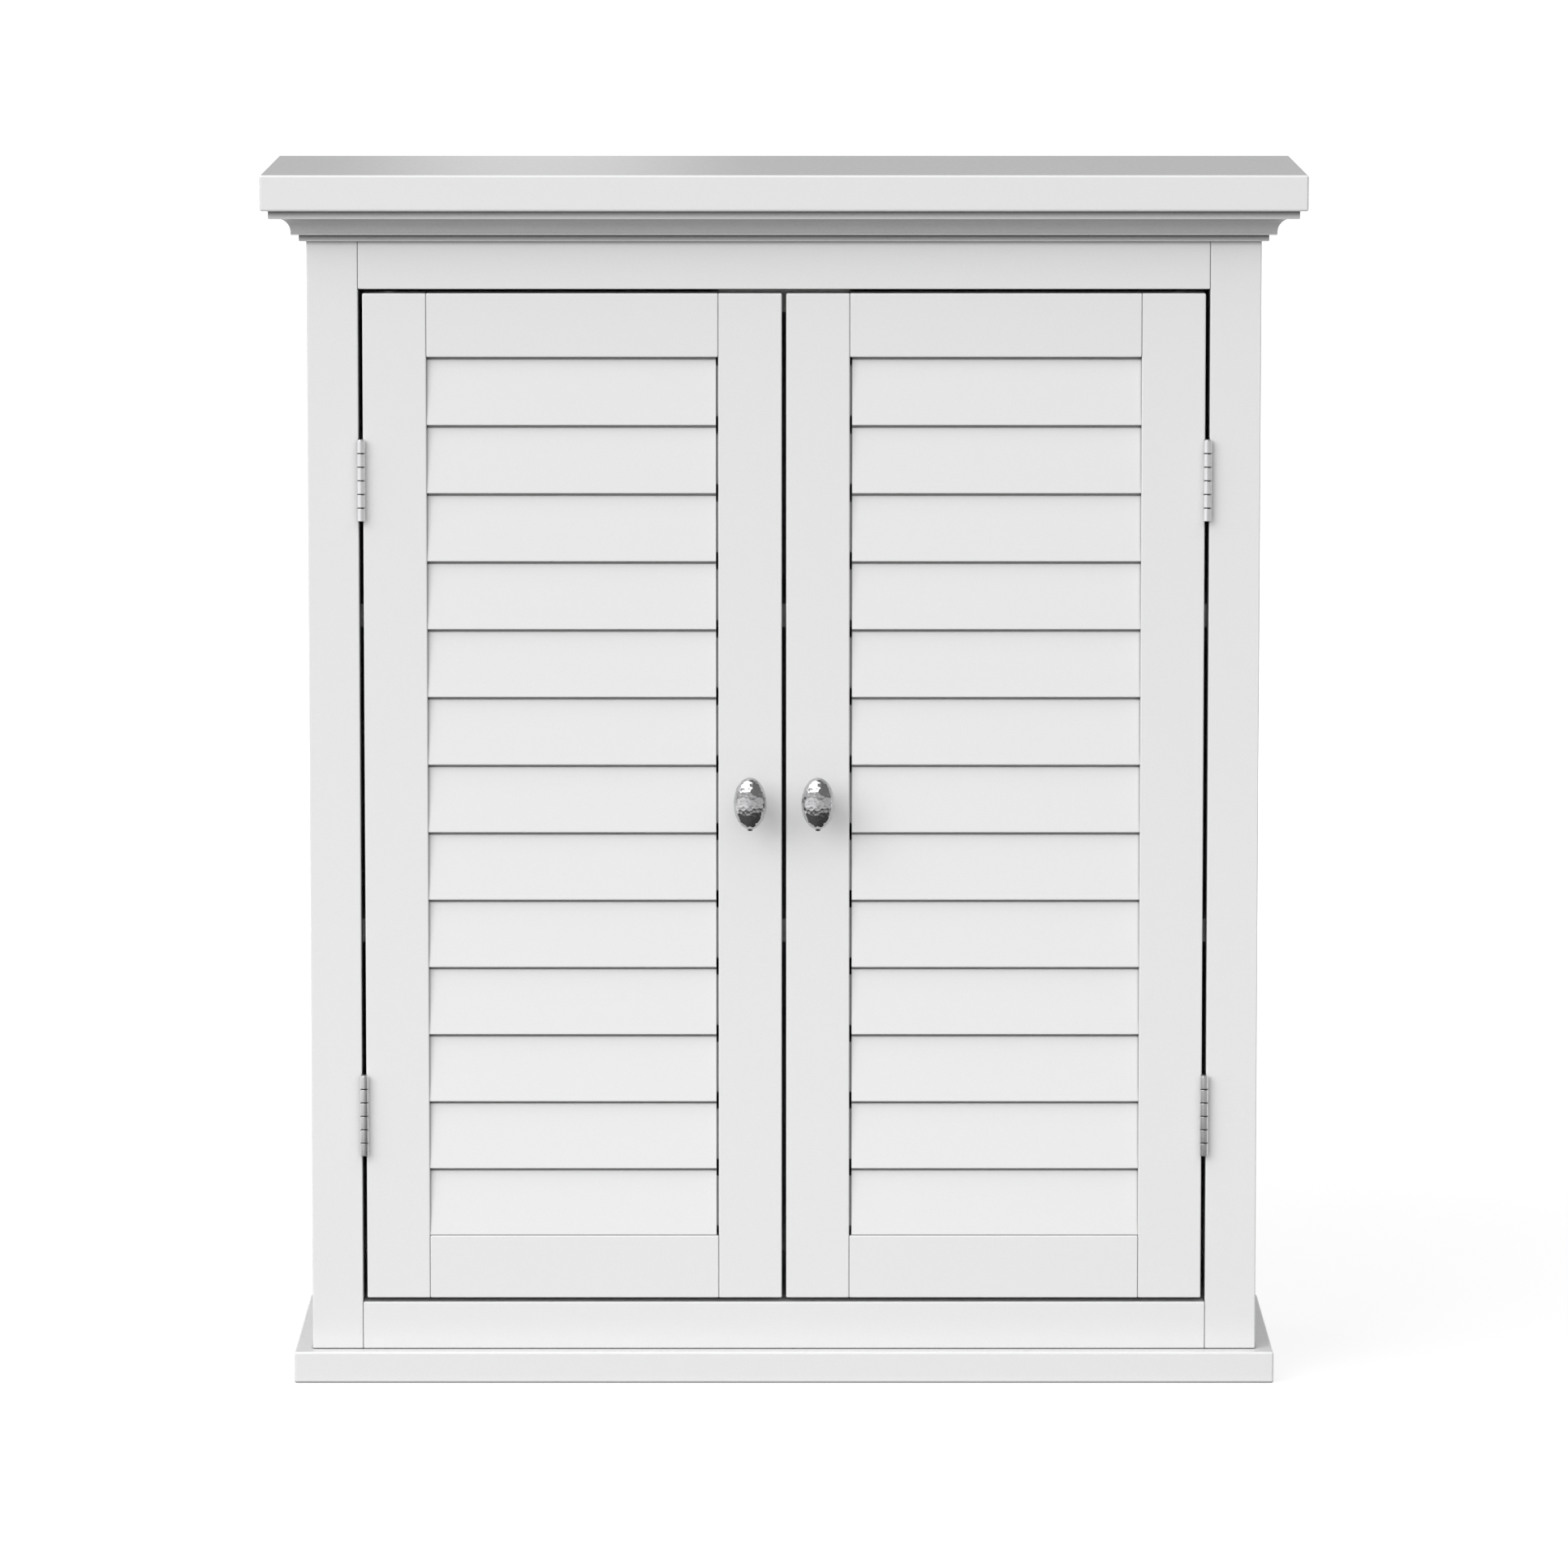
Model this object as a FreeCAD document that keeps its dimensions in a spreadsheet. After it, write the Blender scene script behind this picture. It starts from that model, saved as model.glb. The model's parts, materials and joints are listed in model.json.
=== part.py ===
"""Louvred two-door wall cabinet in painted board, built piece by piece, in millimetres.

The origin is the middle of the base board's underside. X runs to the right as the doors are faced,
Y runs back to the wall and Z runs up. Each piece is one object of the document, named as its file.
"""

import FreeCAD, Part
import Sketcher
import math
import os

SIZES = (
    # carcass
    ("body_width", 476.0),
    ("body_depth", 156.0),
    ("cabinet_height", 610.0),
    ("side_thickness", 15.0),
    ("base_thickness", 16.0),
    ("base_overhang", 9.0),
    ("top_thickness", 18.0),
    ("top_overhang", 22.0),
    ("board_round", 1.2),
    ("member_round", 0.7),
    ("edge_bevel", 0.4),
    ("floor_thickness", 12.0),
    ("back_thickness", 5.0),
    ("back_rebate", 6.0),
    ("cut_margin", 2.0),
    ("fit_clearance", 0.05),
    ("hole_end_space", 0.5),
    # face frame
    ("face_thickness", 18.0),
    ("face_stile_width", 25.5),
    ("bottom_rail_height", 24.0),
    ("rail_below_cornice", 24.0),
    # cornice: its profile is measured outwards from the body and up from its lower edge
    ("cornice_height", 16.0),
    ("cornice_projection", 18.0),
    ("lower_fillet_projection", 3.5),
    ("lower_fillet_height", 3.4),
    ("cove_foot_projection", 7.4),
    ("cove_foot_height", 4.9),
    ("cove_head_projection", 12.8),
    ("cove_head_height", 11.9),
    ("cornice_round", 0.6),
    # doors
    ("door_gap", 2.2),
    ("door_thickness", 18.0),
    ("door_member_width", 31.75),
    ("rail_tenon_length", 8.0),
    ("rail_tenon_thickness", 6.0),
    ("rail_tenon_shoulder", 5.0),
    ("joint_clearance", 0.1),
    # louvre slats: each leans back behind the one above it
    ("slat_count", 13),
    ("slat_depth", 6.0),
    ("slat_lip_setback", 0.6),
    ("slat_lean", 3.3),
    ("slat_gap", 1.4),
    ("slat_overlap", 4.0),
    ("slat_clearance", 0.3),
    ("slat_end_gap", 0.15),
    ("slat_round", 0.6),
    ("slat_tenon_length", 6.0),
    ("slat_tenon_thickness", 3.0),
    ("slat_tenon_inset", 1.5),
    ("slat_tenon_shoulder", 4.5),
    # hinges
    ("hinge_height", 41.0),
    ("hinge_spacing", 321.0),
    ("hinge_axis_proud", 2.45),
    ("barrel_radius", 2.25),
    ("barrel_clearance", 0.35),
    ("knuckle_count", 6),
    ("knuckle_gap", 0.2),
    ("pin_radius", 1.05),
    ("metal_bevel", 0.2),
    ("leaf_reach", 16.5),
    ("leaf_clearance", 0.2),
    ("leaf_corner_radius", 1.5),
    ("leaf_screw_spread", 24.0),
    # small countersunk screws for hinges, strikes and catch
    ("small_screw_length", 12.0),
    ("small_shank_radius", 1.25),
    ("screw_tip_length", 3.0),
    ("catch_screw_length", 24.0),
    # knobs
    ("knob_width", 16.7),
    ("knob_height", 26.4),
    ("knob_standoff", 16.5),
    ("knob_neck_radius", 3.2),
    ("knob_foot_radius", 4.6),
    ("knob_nub_radius", 1.5),
    ("knob_nub_height", 0.5),
    ("rosette_radius", 6.5),
    ("rosette_thickness", 2.0),
    ("rosette_chamfer", 0.8),
    ("knob_screw_radius", 2.0),
    ("knob_screw_grip", 9.0),
    ("knob_screw_head_radius", 4.0),
    ("knob_screw_head_height", 2.4),
    # shelves and their pins
    ("shelf_thickness", 12.0),
    ("shelf_side_gap", 1.0),
    ("shelf_front_gap", 6.0),
    ("shelf_back_gap", 1.0),
    ("peg_row_start", 120.0),
    ("peg_row_pitch", 32.0),
    ("peg_rows", 11),
    ("lower_shelf_row", 3),
    ("upper_shelf_row", 8),
    ("peg_inset", 30.0),
    ("peg_radius", 2.45),
    ("peg_length", 8.0),
    ("peg_collar_radius", 3.8),
    ("peg_collar_thickness", 1.5),
    ("peg_tab_length", 8.0),
    ("peg_tab_width", 7.0),
    ("peg_tab_thickness", 2.0),
    ("peg_seat_rise", 4.0),
    # hanging rail and its two holes for wall screws
    ("hanging_rail_height", 60.0),
    ("hanging_rail_thickness", 12.0),
    ("wall_hole_radius", 3.0),
    ("wall_hole_inset", 20.0),
    # magnetic catch
    ("catch_block_width", 80.0),
    ("catch_block_depth", 18.0),
    ("catch_width", 66.0),
    ("catch_depth", 14.0),
    ("catch_height", 13.0),
    ("catch_screw_inset", 4.0),
    ("magnet_width", 18.0),
    ("magnet_height", 7.0),
    ("magnet_depth", 6.0),
    ("magnet_proud", 0.6),
    ("magnet_gap", 0.3),
    ("strike_width", 24.0),
    ("strike_height", 11.0),
    ("strike_thickness", 1.2),
    # dowels, cam fittings, base screws and back nails
    ("dowel_radius", 3.0),
    ("dowel_length", 24.0),
    ("dowel_chamfer", 1.0),
    ("dowel_in_side", 10.0),
    ("face_dowel_inset", 7.0),
    ("panel_dowel_inset", 40.0),
    ("rail_dowel_inset", 15.0),
    ("cam_radius", 7.5),
    ("cam_depth", 12.0),
    ("cam_drop", 24.0),
    ("cam_inset", 30.0),
    ("cam_slot_width", 1.2),
    ("cam_slot_length", 8.0),
    ("cam_slot_depth", 1.5),
    ("bolt_head_radius", 3.0),
    ("bolt_head_below_cam_centre", 2.0),
    ("bolt_head_above_cam_centre", 1.0),
    ("bolt_neck_radius", 1.8),
    ("bolt_neck_length", 4.0),
    ("bolt_shank_radius", 3.2),
    ("bolt_thread_radius", 2.8),
    ("bolt_thread_length", 9.0),
    ("base_screw_length", 34.0),
    ("base_screw_radius", 2.0),
    ("base_screw_head_radius", 4.0),
    ("base_screw_inset", 30.0),
    ("rail_screw_inset", 100.0),
    ("nail_rows", 5),
    ("nail_inset", 28.0),
    ("nail_radius", 0.7),
    ("nail_head_radius", 1.7),
    ("nail_head_thickness", 0.8),
    ("nail_length", 20.0),
)

# Heights, edges and shared lines that follow from the sizes; each may use the ones before it.
PLACES = (
    ("back_y", "(Sizes.body_depth + Sizes.base_overhang) / 2"),
    ("face_y", "back_y - Sizes.body_depth"),
    ("frame_back_y", "face_y + Sizes.face_thickness"),
    ("door_back_y", "face_y + Sizes.door_thickness"),
    ("panel_front_y", "back_y - Sizes.back_thickness"),
    ("body_top_z", "Sizes.cabinet_height - Sizes.top_thickness"),
    ("body_height", "body_top_z - Sizes.base_thickness"),
    ("inner_half", "Sizes.body_width / 2 - Sizes.side_thickness"),
    ("side_mid_x", "Sizes.body_width / 2 - Sizes.side_thickness / 2"),
    ("side_depth", "Sizes.body_depth - Sizes.face_thickness"),
    ("opening_half", "Sizes.body_width / 2 - Sizes.face_stile_width"),
    ("opening_bottom_z", "Sizes.base_thickness + Sizes.bottom_rail_height"),
    ("top_rail_height", "Sizes.cornice_height + Sizes.rail_below_cornice"),
    ("opening_top_z", "body_top_z - top_rail_height"),
    ("door_width", "opening_half - 1.5 * Sizes.door_gap"),
    ("door_height", "opening_top_z - opening_bottom_z - 2 * Sizes.door_gap"),
    ("door_bottom_z", "opening_bottom_z + Sizes.door_gap"),
    ("door_top_z", "door_bottom_z + door_height"),
    ("door_mid_z", "door_bottom_z + door_height / 2"),
    ("meeting_mid_x", "Sizes.door_gap / 2 + Sizes.door_member_width / 2"),
    ("hinge_mid_x", "opening_half - Sizes.door_gap - Sizes.door_member_width / 2"),
    ("door_mid_x", "Sizes.door_gap / 2 + door_width / 2"),
    ("louvre_width", "door_width - 2 * Sizes.door_member_width"),
    ("louvre_height", "door_height - 2 * Sizes.door_member_width"),
    ("slat_pitch", "louvre_height / Sizes.slat_count"),
    ("slat_slope", "Sizes.slat_lean / slat_pitch"),
    ("axis_x", "opening_half - Sizes.door_gap / 2"),
    ("axis_y", "face_y - Sizes.hinge_axis_proud"),
    ("upper_hinge_z", "door_mid_z + Sizes.hinge_spacing / 2"),
    ("lower_hinge_z", "door_mid_z - Sizes.hinge_spacing / 2"),
    ("knuckle_pitch", "Sizes.hinge_height / Sizes.knuckle_count"),
    ("leaf_thickness", "(Sizes.door_gap - Sizes.leaf_clearance) / 2"),
    ("leaf_root", "Sizes.barrel_radius + Sizes.barrel_clearance"),
    ("leaf_screw_reach", "(leaf_root + Sizes.leaf_reach) / 2"),
    ("small_head_radius", "Sizes.small_shank_radius + leaf_thickness"),
    ("screw_in_wood", "Sizes.small_screw_length - leaf_thickness + Sizes.hole_end_space"),
    ("shelf_front_y", "door_back_y + Sizes.shelf_front_gap"),
    ("shelf_back_y", "panel_front_y - Sizes.shelf_back_gap"),
    ("peg_front_y", "shelf_front_y + Sizes.peg_inset"),
    ("peg_back_y", "shelf_back_y - Sizes.peg_inset"),
    ("hanging_rail_y", "panel_front_y - Sizes.hanging_rail_thickness"),
    ("hanging_rail_z", "body_top_z - Sizes.hanging_rail_height"),
    ("wall_hole_x", "inner_half - Sizes.wall_hole_inset"),
    ("wall_hole_z", "body_top_z - Sizes.hanging_rail_height / 2"),
    ("strike_z", "door_top_z - Sizes.strike_height / 2 - Sizes.member_round"),
    ("catch_y", "door_back_y + Sizes.strike_thickness + Sizes.magnet_gap + Sizes.magnet_proud"),
    ("cam_front_y", "frame_back_y + Sizes.cam_inset"),
    ("cam_back_y", "hanging_rail_y - Sizes.cam_inset"),
    ("nail_x", "inner_half + Sizes.back_rebate / 2"),
    ("nail_pitch", "(body_height - 2 * Sizes.nail_inset) / (Sizes.nail_rows - 1)"),
)

HANDS = {"left": -1, "right": 1}
HINGES = {"upper": "Places.upper_hinge_z", "lower": "Places.lower_hinge_z"}
X_AXIS = FreeCAD.Vector(1, 0, 0)
Y_AXIS = FreeCAD.Vector(0, 1, 0)
Z_AXIS = FreeCAD.Vector(0, 0, 1)
HALF_TURN = FreeCAD.Rotation(Z_AXIS, 180)
NO_TURN = FreeCAD.Rotation()
NEARLY_NOTHING = 1e-6
SMALL_SCREW = ("Places.small_head_radius", "Sizes.small_shank_radius")
BASE_SCREW = ("Sizes.base_screw_head_radius", "Sizes.base_screw_radius")

doc = FreeCAD.newDocument("cabinet")
nodes = []


# ---------------------------------------------------------------- sizes and places


def make_sizes():
    """The sheet of driving sizes, one plain number to a cell."""
    sheet = doc.addObject("Spreadsheet::Sheet", "Sizes")
    for row, (alias, number) in enumerate(SIZES, start=1):
        sheet.set(f"A{row}", alias)
        sheet.set(f"B{row}", str(number))
        sheet.setAlias(f"B{row}", alias)
    doc.recompute()
    return sheet


def make_places():
    """The lines that several pieces share, worked out from the sheet."""
    places = doc.addObject("App::VarSet", "Places")
    for name, expression in PLACES:
        places.addProperty("App::PropertyFloat", name)
        places.setExpression(name, expression)
        doc.recompute()


def value(expression):
    return float(sizes.evalExpression(str(expression)))


# ---------------------------------------------------------------- sketches and features


def new_body(name):
    return doc.addObject("PartDesign::Body", name)


def new_sketch(body, name, role, offset=None):
    """An empty sketch on one of the body's own planes, moved along the plane's normal by offset."""
    sketch = body.newObject("Sketcher::SketchObject", f"{body.Name}_{name}")
    plane = next(feature for feature in body.Origin.OriginFeatures if feature.Role == role)
    sketch.AttachmentSupport = [(plane, "")]
    sketch.MapMode = "FlatFace"
    if offset is not None:
        sketch.setExpression("AttachmentOffset.Base.z", offset)
    return sketch


def fix_point(sketch, geometry, point, across, up):
    """Ties a point of a sketch to the sketch's origin with two bound dimensions."""
    for kind, expression in (("DistanceX", across), ("DistanceY", up)):
        constraint = Sketcher.Constraint(kind, -1, 1, geometry, point, value(expression))
        index = sketch.addConstraint(constraint)
        sketch.setExpression(f"Constraints[{index}]", expression)


def draw_outline(body, name, role, corners, offset=None):
    """A closed outline of straight lines through corners given as pairs of expressions."""
    sketch = new_sketch(body, name, role, offset)
    points = [FreeCAD.Vector(value(across), value(up), 0) for across, up in corners]
    count = len(points)
    for index in range(count):
        sketch.addGeometry(Part.LineSegment(points[index], points[(index + 1) % count]), False)
    for index in range(count):
        sketch.addConstraint(Sketcher.Constraint("Coincident", index, 2, (index + 1) % count, 1))
    for index, (across, up) in enumerate(corners):
        fix_point(sketch, index, 1, across, up)
    return sketch


def draw_rectangle(body, name, role, low, high, offset=None):
    corners = (low, (high[0], low[1]), high, (low[0], high[1]))
    return draw_outline(body, name, role, corners, offset)


def draw_circles(body, name, role, centres, radius, offset=None):
    sketch = new_sketch(body, name, role, offset)
    for index, (across, up) in enumerate(centres):
        centre = FreeCAD.Vector(value(across), value(up), 0)
        sketch.addGeometry(Part.Circle(centre, Z_AXIS, value(radius)), False)
        fix_point(sketch, index, 3, across, up)
        bound = sketch.addConstraint(Sketcher.Constraint("Radius", index, value(radius)))
        sketch.setExpression(f"Constraints[{bound}]", radius)
    return sketch


def pad(body, sketch, length, both_ways=False, backwards=False):
    feature = body.newObject("PartDesign::Pad", f"{sketch.Name}_pad")
    feature.Profile = sketch
    feature.setExpression("Length", length)
    feature.SideType = "Symmetric" if both_ways else "One side"
    feature.Reversed = backwards
    doc.recompute()
    return feature


def cut(body, sketch, depth=None, backwards=False):
    """A pocket against the sketch's normal, or along it if backwards; right through with no depth."""
    feature = body.newObject("PartDesign::Pocket", f"{sketch.Name}_cut")
    feature.Profile = sketch
    if depth is None:
        feature.Type = "ThroughAll"
        feature.SideType = "Symmetric"
    else:
        feature.setExpression("Length", depth)
        feature.Reversed = backwards
    doc.recompute()
    return feature


def countersink(body, sketch, radii, backwards=False):
    """Through holes for screws of (head, shank) radii, with a 90 degree cone at the sketch's plane."""
    head_radius, shank_radius = radii
    feature = body.newObject("PartDesign::Hole", f"{sketch.Name}_hole")
    feature.Profile = sketch
    feature.DepthType = "ThroughAll"
    feature.Reversed = backwards
    feature.HoleCutType = "Countersink"
    feature.HoleCutCustomValues = True
    feature.HoleCutCountersinkAngle = 90
    feature.setExpression("Diameter", f"2 * ({shank_radius} + Sizes.fit_clearance)")
    feature.setExpression("HoleCutDiameter", f"2 * ({head_radius} + Sizes.fit_clearance)")
    doc.recompute()
    return feature


def repeat(body, features, sketch, axis, spacing, count):
    """Copies features along an axis of their sketch, at an equal spacing."""
    feature = body.newObject("PartDesign::LinearPattern", f"{features[0].Name}_row")
    feature.Originals = features
    feature.Direction = (sketch, [axis])
    feature.Mode = "Spacing"
    feature.setExpression("Offset", spacing)
    feature.setExpression("Occurrences", count)
    body.Tip = feature
    doc.recompute()
    return feature


def soften(body, feature, kind, size, chosen=None):
    """Chamfers or fillets all edges of a feature, or those whose two ends pass the chosen test."""
    softened = body.newObject(f"PartDesign::{kind}", f"{feature.Name}_{kind.lower()}")
    if chosen is None:
        softened.Base = (feature, [""])
        softened.UseAllEdges = True
    else:
        edges = enumerate(feature.Shape.Edges, start=1)
        names = [f"Edge{k}" for k, edge in edges if chosen(*(v.Point for v in edge.Vertexes))]
        softened.Base = (feature, names)
    softened.setExpression("Size" if kind == "Chamfer" else "Radius", size)
    doc.recompute()
    return softened


def turned(name, profile):
    """A solid turned about Z from a half outline of (radius, height) pairs."""
    body = new_body(name)
    sketch = draw_outline(body, "profile", "XZ_Plane", profile)
    doc.recompute()
    feature = body.newObject("PartDesign::Revolution", f"{name}_turning")
    feature.Profile = sketch
    feature.ReferenceAxis = (sketch, ["V_Axis"])
    feature.Angle = 360
    doc.recompute()
    return body


def board(name, width, depth, height, kind="Chamfer", edge="Sizes.edge_bevel"):
    """A board centred on its own X, with its front at Y 0, its foot at Z 0 and softened edges."""
    body = new_body(name)
    low = (f"-({width}) / 2", "0")
    high = (f"({width}) / 2", depth)
    blank = pad(body, draw_rectangle(body, "outline", "XY_Plane", low, high), height)
    soften(body, blank, kind, edge)
    return body


# ---------------------------------------------------------------- placing and naming


def place(item, across, back, up, turn=NO_TURN):
    item.Placement = FreeCAD.Placement(FreeCAD.Vector(), turn)
    for axis, expression in zip("xyz", (across, back, up)):
        item.setExpression(f"Placement.Base.{axis}", str(expression))
    return item


def keep(item, name=None):
    """Marks an object as a finished piece and gives it the name of its file."""
    item.Label = name or item.Name
    nodes.append(item)
    return item


def copies(name, master, spots):
    """One group of equal pieces: a link to the master at each (across, back, up, turn)."""
    links = []
    for index, (across, back, up, turn) in enumerate(spots, start=1):
        link = doc.addObject("App::Link", f"{name}_{index}")
        link.LinkedObject = master
        links.append(place(link, across, back, up, turn))
    group = doc.addObject("Part::Compound", name)
    group.Links = links
    return keep(group)


# ---------------------------------------------------------------- shared lines of fasteners


def base_screw_spots():
    """Two screws up into each side panel and two into the bottom face rail."""
    front = "Places.frame_back_y + Sizes.base_screw_inset"
    back = "Places.back_y - Sizes.base_screw_inset"
    rail_mid = "Places.face_y + Sizes.face_thickness / 2"
    spots = []
    for side in HANDS.values():
        spots.append((f"{side} * Places.side_mid_x", front))
        spots.append((f"{side} * Places.side_mid_x", back))
        spots.append((f"{side} * (Places.opening_half - Sizes.rail_screw_inset)", rail_mid))
    return spots


def cam_spots():
    """(side, back) of each cam and of the bolt above it."""
    rows = ("Places.cam_front_y", "Places.cam_back_y")
    return [(side, back) for side in HANDS.values() for back in rows]


def catch_screw_spots():
    """(across, back) of the two screws that hold the catch up to its block."""
    across = "(Sizes.catch_width / 2 - Sizes.catch_screw_inset)"
    back = "Places.catch_y + Sizes.catch_depth / 2"
    return [(f"{side} * {across}", back) for side in HANDS.values()]


def panel_dowel_spots():
    """(back, up) of the dowels that join the floor panel and the hanging rail to a side panel."""
    floor_mid = "Places.opening_bottom_z - Sizes.floor_thickness / 2"
    rail_mid = "Places.panel_front_y - Sizes.hanging_rail_thickness / 2"
    return (
        ("Places.frame_back_y + Sizes.panel_dowel_inset", floor_mid),
        ("Places.panel_front_y - Sizes.panel_dowel_inset", floor_mid),
        (rail_mid, "Places.hanging_rail_z + Sizes.rail_dowel_inset"),
        (rail_mid, "Places.body_top_z - Sizes.rail_dowel_inset"),
    )


def face_dowel_heights():
    return (
        "Sizes.base_thickness + Sizes.face_dowel_inset",
        "Places.opening_bottom_z - Sizes.face_dowel_inset",
        "Places.opening_top_z + Sizes.face_dowel_inset",
        "Places.body_top_z - Sizes.face_dowel_inset",
    )


def leaf_screw_heights():
    half = "Sizes.leaf_screw_spread / 2"
    return [f"{hinge} {sign} {half}" for hinge in HINGES.values() for sign in "-+"]


def end_holes(body, half_width, centres, radius, depth):
    """Blind holes into both ends of a board, at (back, up) centres in the board's own frame."""
    for hand, side in HANDS.items():
        offset = f"{side} * ({half_width})"
        sketch = draw_circles(body, f"{hand}_end_holes", "YZ_Plane", centres, radius, offset)
        cut(body, sketch, depth, backwards=side < 0)


# ---------------------------------------------------------------- carcass boards


def base_board():
    """The board the cabinet stands on, countersunk from beneath for its screws."""
    width = "Sizes.body_width + 2 * Sizes.base_overhang"
    depth = "Sizes.body_depth + Sizes.base_overhang"
    body = board("base_board", width, depth, "Sizes.base_thickness", "Fillet", "Sizes.board_round")
    front = "Places.face_y - Sizes.base_overhang"
    centres = [(across, f"{back} - ({front})") for across, back in base_screw_spots()]
    sketch = draw_circles(body, "screw_holes", "XY_Plane", centres, "Sizes.base_screw_radius")
    countersink(body, sketch, BASE_SCREW, backwards=True)
    keep(place(body, "0", front, "0"))


def top_board():
    """The overhanging top, bored from beneath for the cam bolts."""
    width = "Sizes.body_width + 2 * Sizes.top_overhang"
    depth = "Sizes.body_depth + Sizes.top_overhang"
    body = board("top_board", width, depth, "Sizes.top_thickness", "Fillet", "Sizes.board_round")
    front = "Places.face_y - Sizes.top_overhang"
    centres = [(f"{side} * Places.side_mid_x", f"{back} - ({front})") for side, back in cam_spots()]
    radius = "Sizes.bolt_thread_radius + Sizes.fit_clearance"
    sketch = draw_circles(body, "bolt_holes", "XY_Plane", centres, radius)
    cut(body, sketch, "Sizes.bolt_thread_length + Sizes.hole_end_space", backwards=True)
    keep(place(body, "0", front, "Places.body_top_z"))


def side_panel(hand, side):
    """A side with its rebate for the back, peg rows, cam fittings and holes for its fasteners."""
    lengths = ("Sizes.side_thickness", "Places.side_depth", "Places.body_height")
    body = board(f"{hand}_side_panel", *lengths)
    inner = f"{-side} * Sizes.side_thickness / 2"
    into_panel = side > 0

    def local(back, up):
        return (f"{back} - Places.frame_back_y", f"{up} - Sizes.base_thickness")

    step = f"{-side} * (Sizes.side_thickness / 2 - Sizes.back_rebate)"
    past = f"{-side} * (Sizes.side_thickness / 2 + Sizes.cut_margin)"
    low = (step, "Places.side_depth - Sizes.back_thickness")
    high = (past, "Places.side_depth + Sizes.cut_margin")
    cut(body, draw_rectangle(body, "rebate", "XY_Plane", low, high))

    rows = ("Places.peg_front_y", "Places.peg_back_y")
    centres = [local(back, "Sizes.peg_row_start") for back in rows]
    radius = "Sizes.peg_radius + Sizes.fit_clearance"
    sketch = draw_circles(body, "pegs", "YZ_Plane", centres, radius, inner)
    first = cut(body, sketch, "Sizes.peg_length + Sizes.hole_end_space", into_panel)
    repeat(body, [first], sketch, "V_Axis", "Sizes.peg_row_pitch", "Sizes.peg_rows")

    rows = ("Places.cam_front_y", "Places.cam_back_y")
    centres = [local(back, "Places.body_top_z - Sizes.cam_drop") for back in rows]
    radius = "Sizes.cam_radius + Sizes.fit_clearance"
    sketch = draw_circles(body, "cams", "YZ_Plane", centres, radius, inner)
    cut(body, sketch, "Sizes.cam_depth", into_panel)

    centres = [("0", f"{back} - Places.frame_back_y") for back in rows]
    radius = "Sizes.bolt_shank_radius + Sizes.fit_clearance"
    sketch = draw_circles(body, "cam_bolts", "XY_Plane", centres, radius, "Places.body_height")
    cut(body, sketch, "Sizes.cam_drop")

    centres = [local(*spot) for spot in panel_dowel_spots()]
    radius = "Sizes.dowel_radius + Sizes.fit_clearance"
    sketch = draw_circles(body, "dowels", "YZ_Plane", centres, radius, inner)
    cut(body, sketch, "Sizes.dowel_in_side", into_panel)

    front = "Sizes.base_screw_inset"
    back = "Places.side_depth - Sizes.base_screw_inset"
    radius = "Sizes.base_screw_radius + Sizes.fit_clearance"
    sketch = draw_circles(body, "base_screws", "XY_Plane", [("0", front), ("0", back)], radius)
    cut(body, sketch, "Sizes.base_screw_length - Sizes.base_thickness + Sizes.hole_end_space", True)

    centre = (f"{-side} * (Sizes.side_thickness - Sizes.back_rebate) / 2", "Sizes.nail_inset")
    offset = "Sizes.back_thickness - Places.side_depth"
    radius = "Sizes.nail_radius + Sizes.fit_clearance"
    sketch = draw_circles(body, "nails", "XZ_Plane", [centre], radius, offset)
    first = cut(body, sketch, "Sizes.nail_length - Sizes.back_thickness + Sizes.hole_end_space", True)
    repeat(body, [first], sketch, "V_Axis", "Places.nail_pitch", "Sizes.nail_rows")

    keep(place(body, f"{side} * Places.side_mid_x", "Places.frame_back_y", "Sizes.base_thickness"))


def floor_panel():
    depth = "Places.panel_front_y - Places.frame_back_y"
    body = board("floor_panel", "2 * Places.inner_half", depth, "Sizes.floor_thickness")
    mid = "Sizes.floor_thickness / 2"
    centres = [(f"{back} - Places.frame_back_y", mid) for back, up in panel_dowel_spots()[:2]]
    radius = "Sizes.dowel_radius + Sizes.fit_clearance"
    end_holes(body, "Places.inner_half", centres, radius, "Sizes.dowel_length - Sizes.dowel_in_side")
    keep(place(body, "0", "Places.frame_back_y", "Places.opening_bottom_z - Sizes.floor_thickness"))


def hanging_rail():
    """The rail under the top that the wall screws pull against."""
    lengths = ("2 * Places.inner_half", "Sizes.hanging_rail_thickness", "Sizes.hanging_rail_height")
    body = board("hanging_rail", *lengths)
    mid = "Sizes.hanging_rail_thickness / 2"
    centres = [(mid, f"{up} - Places.hanging_rail_z") for back, up in panel_dowel_spots()[2:]]
    radius = "Sizes.dowel_radius + Sizes.fit_clearance"
    end_holes(body, "Places.inner_half", centres, radius, "Sizes.dowel_length - Sizes.dowel_in_side")
    up = "Sizes.hanging_rail_height / 2"
    centres = [(f"{side} * Places.wall_hole_x", up) for side in HANDS.values()]
    cut(body, draw_circles(body, "wall_holes", "XZ_Plane", centres, "Sizes.wall_hole_radius"))
    keep(place(body, "0", "Places.hanging_rail_y", "Places.hanging_rail_z"))


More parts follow.
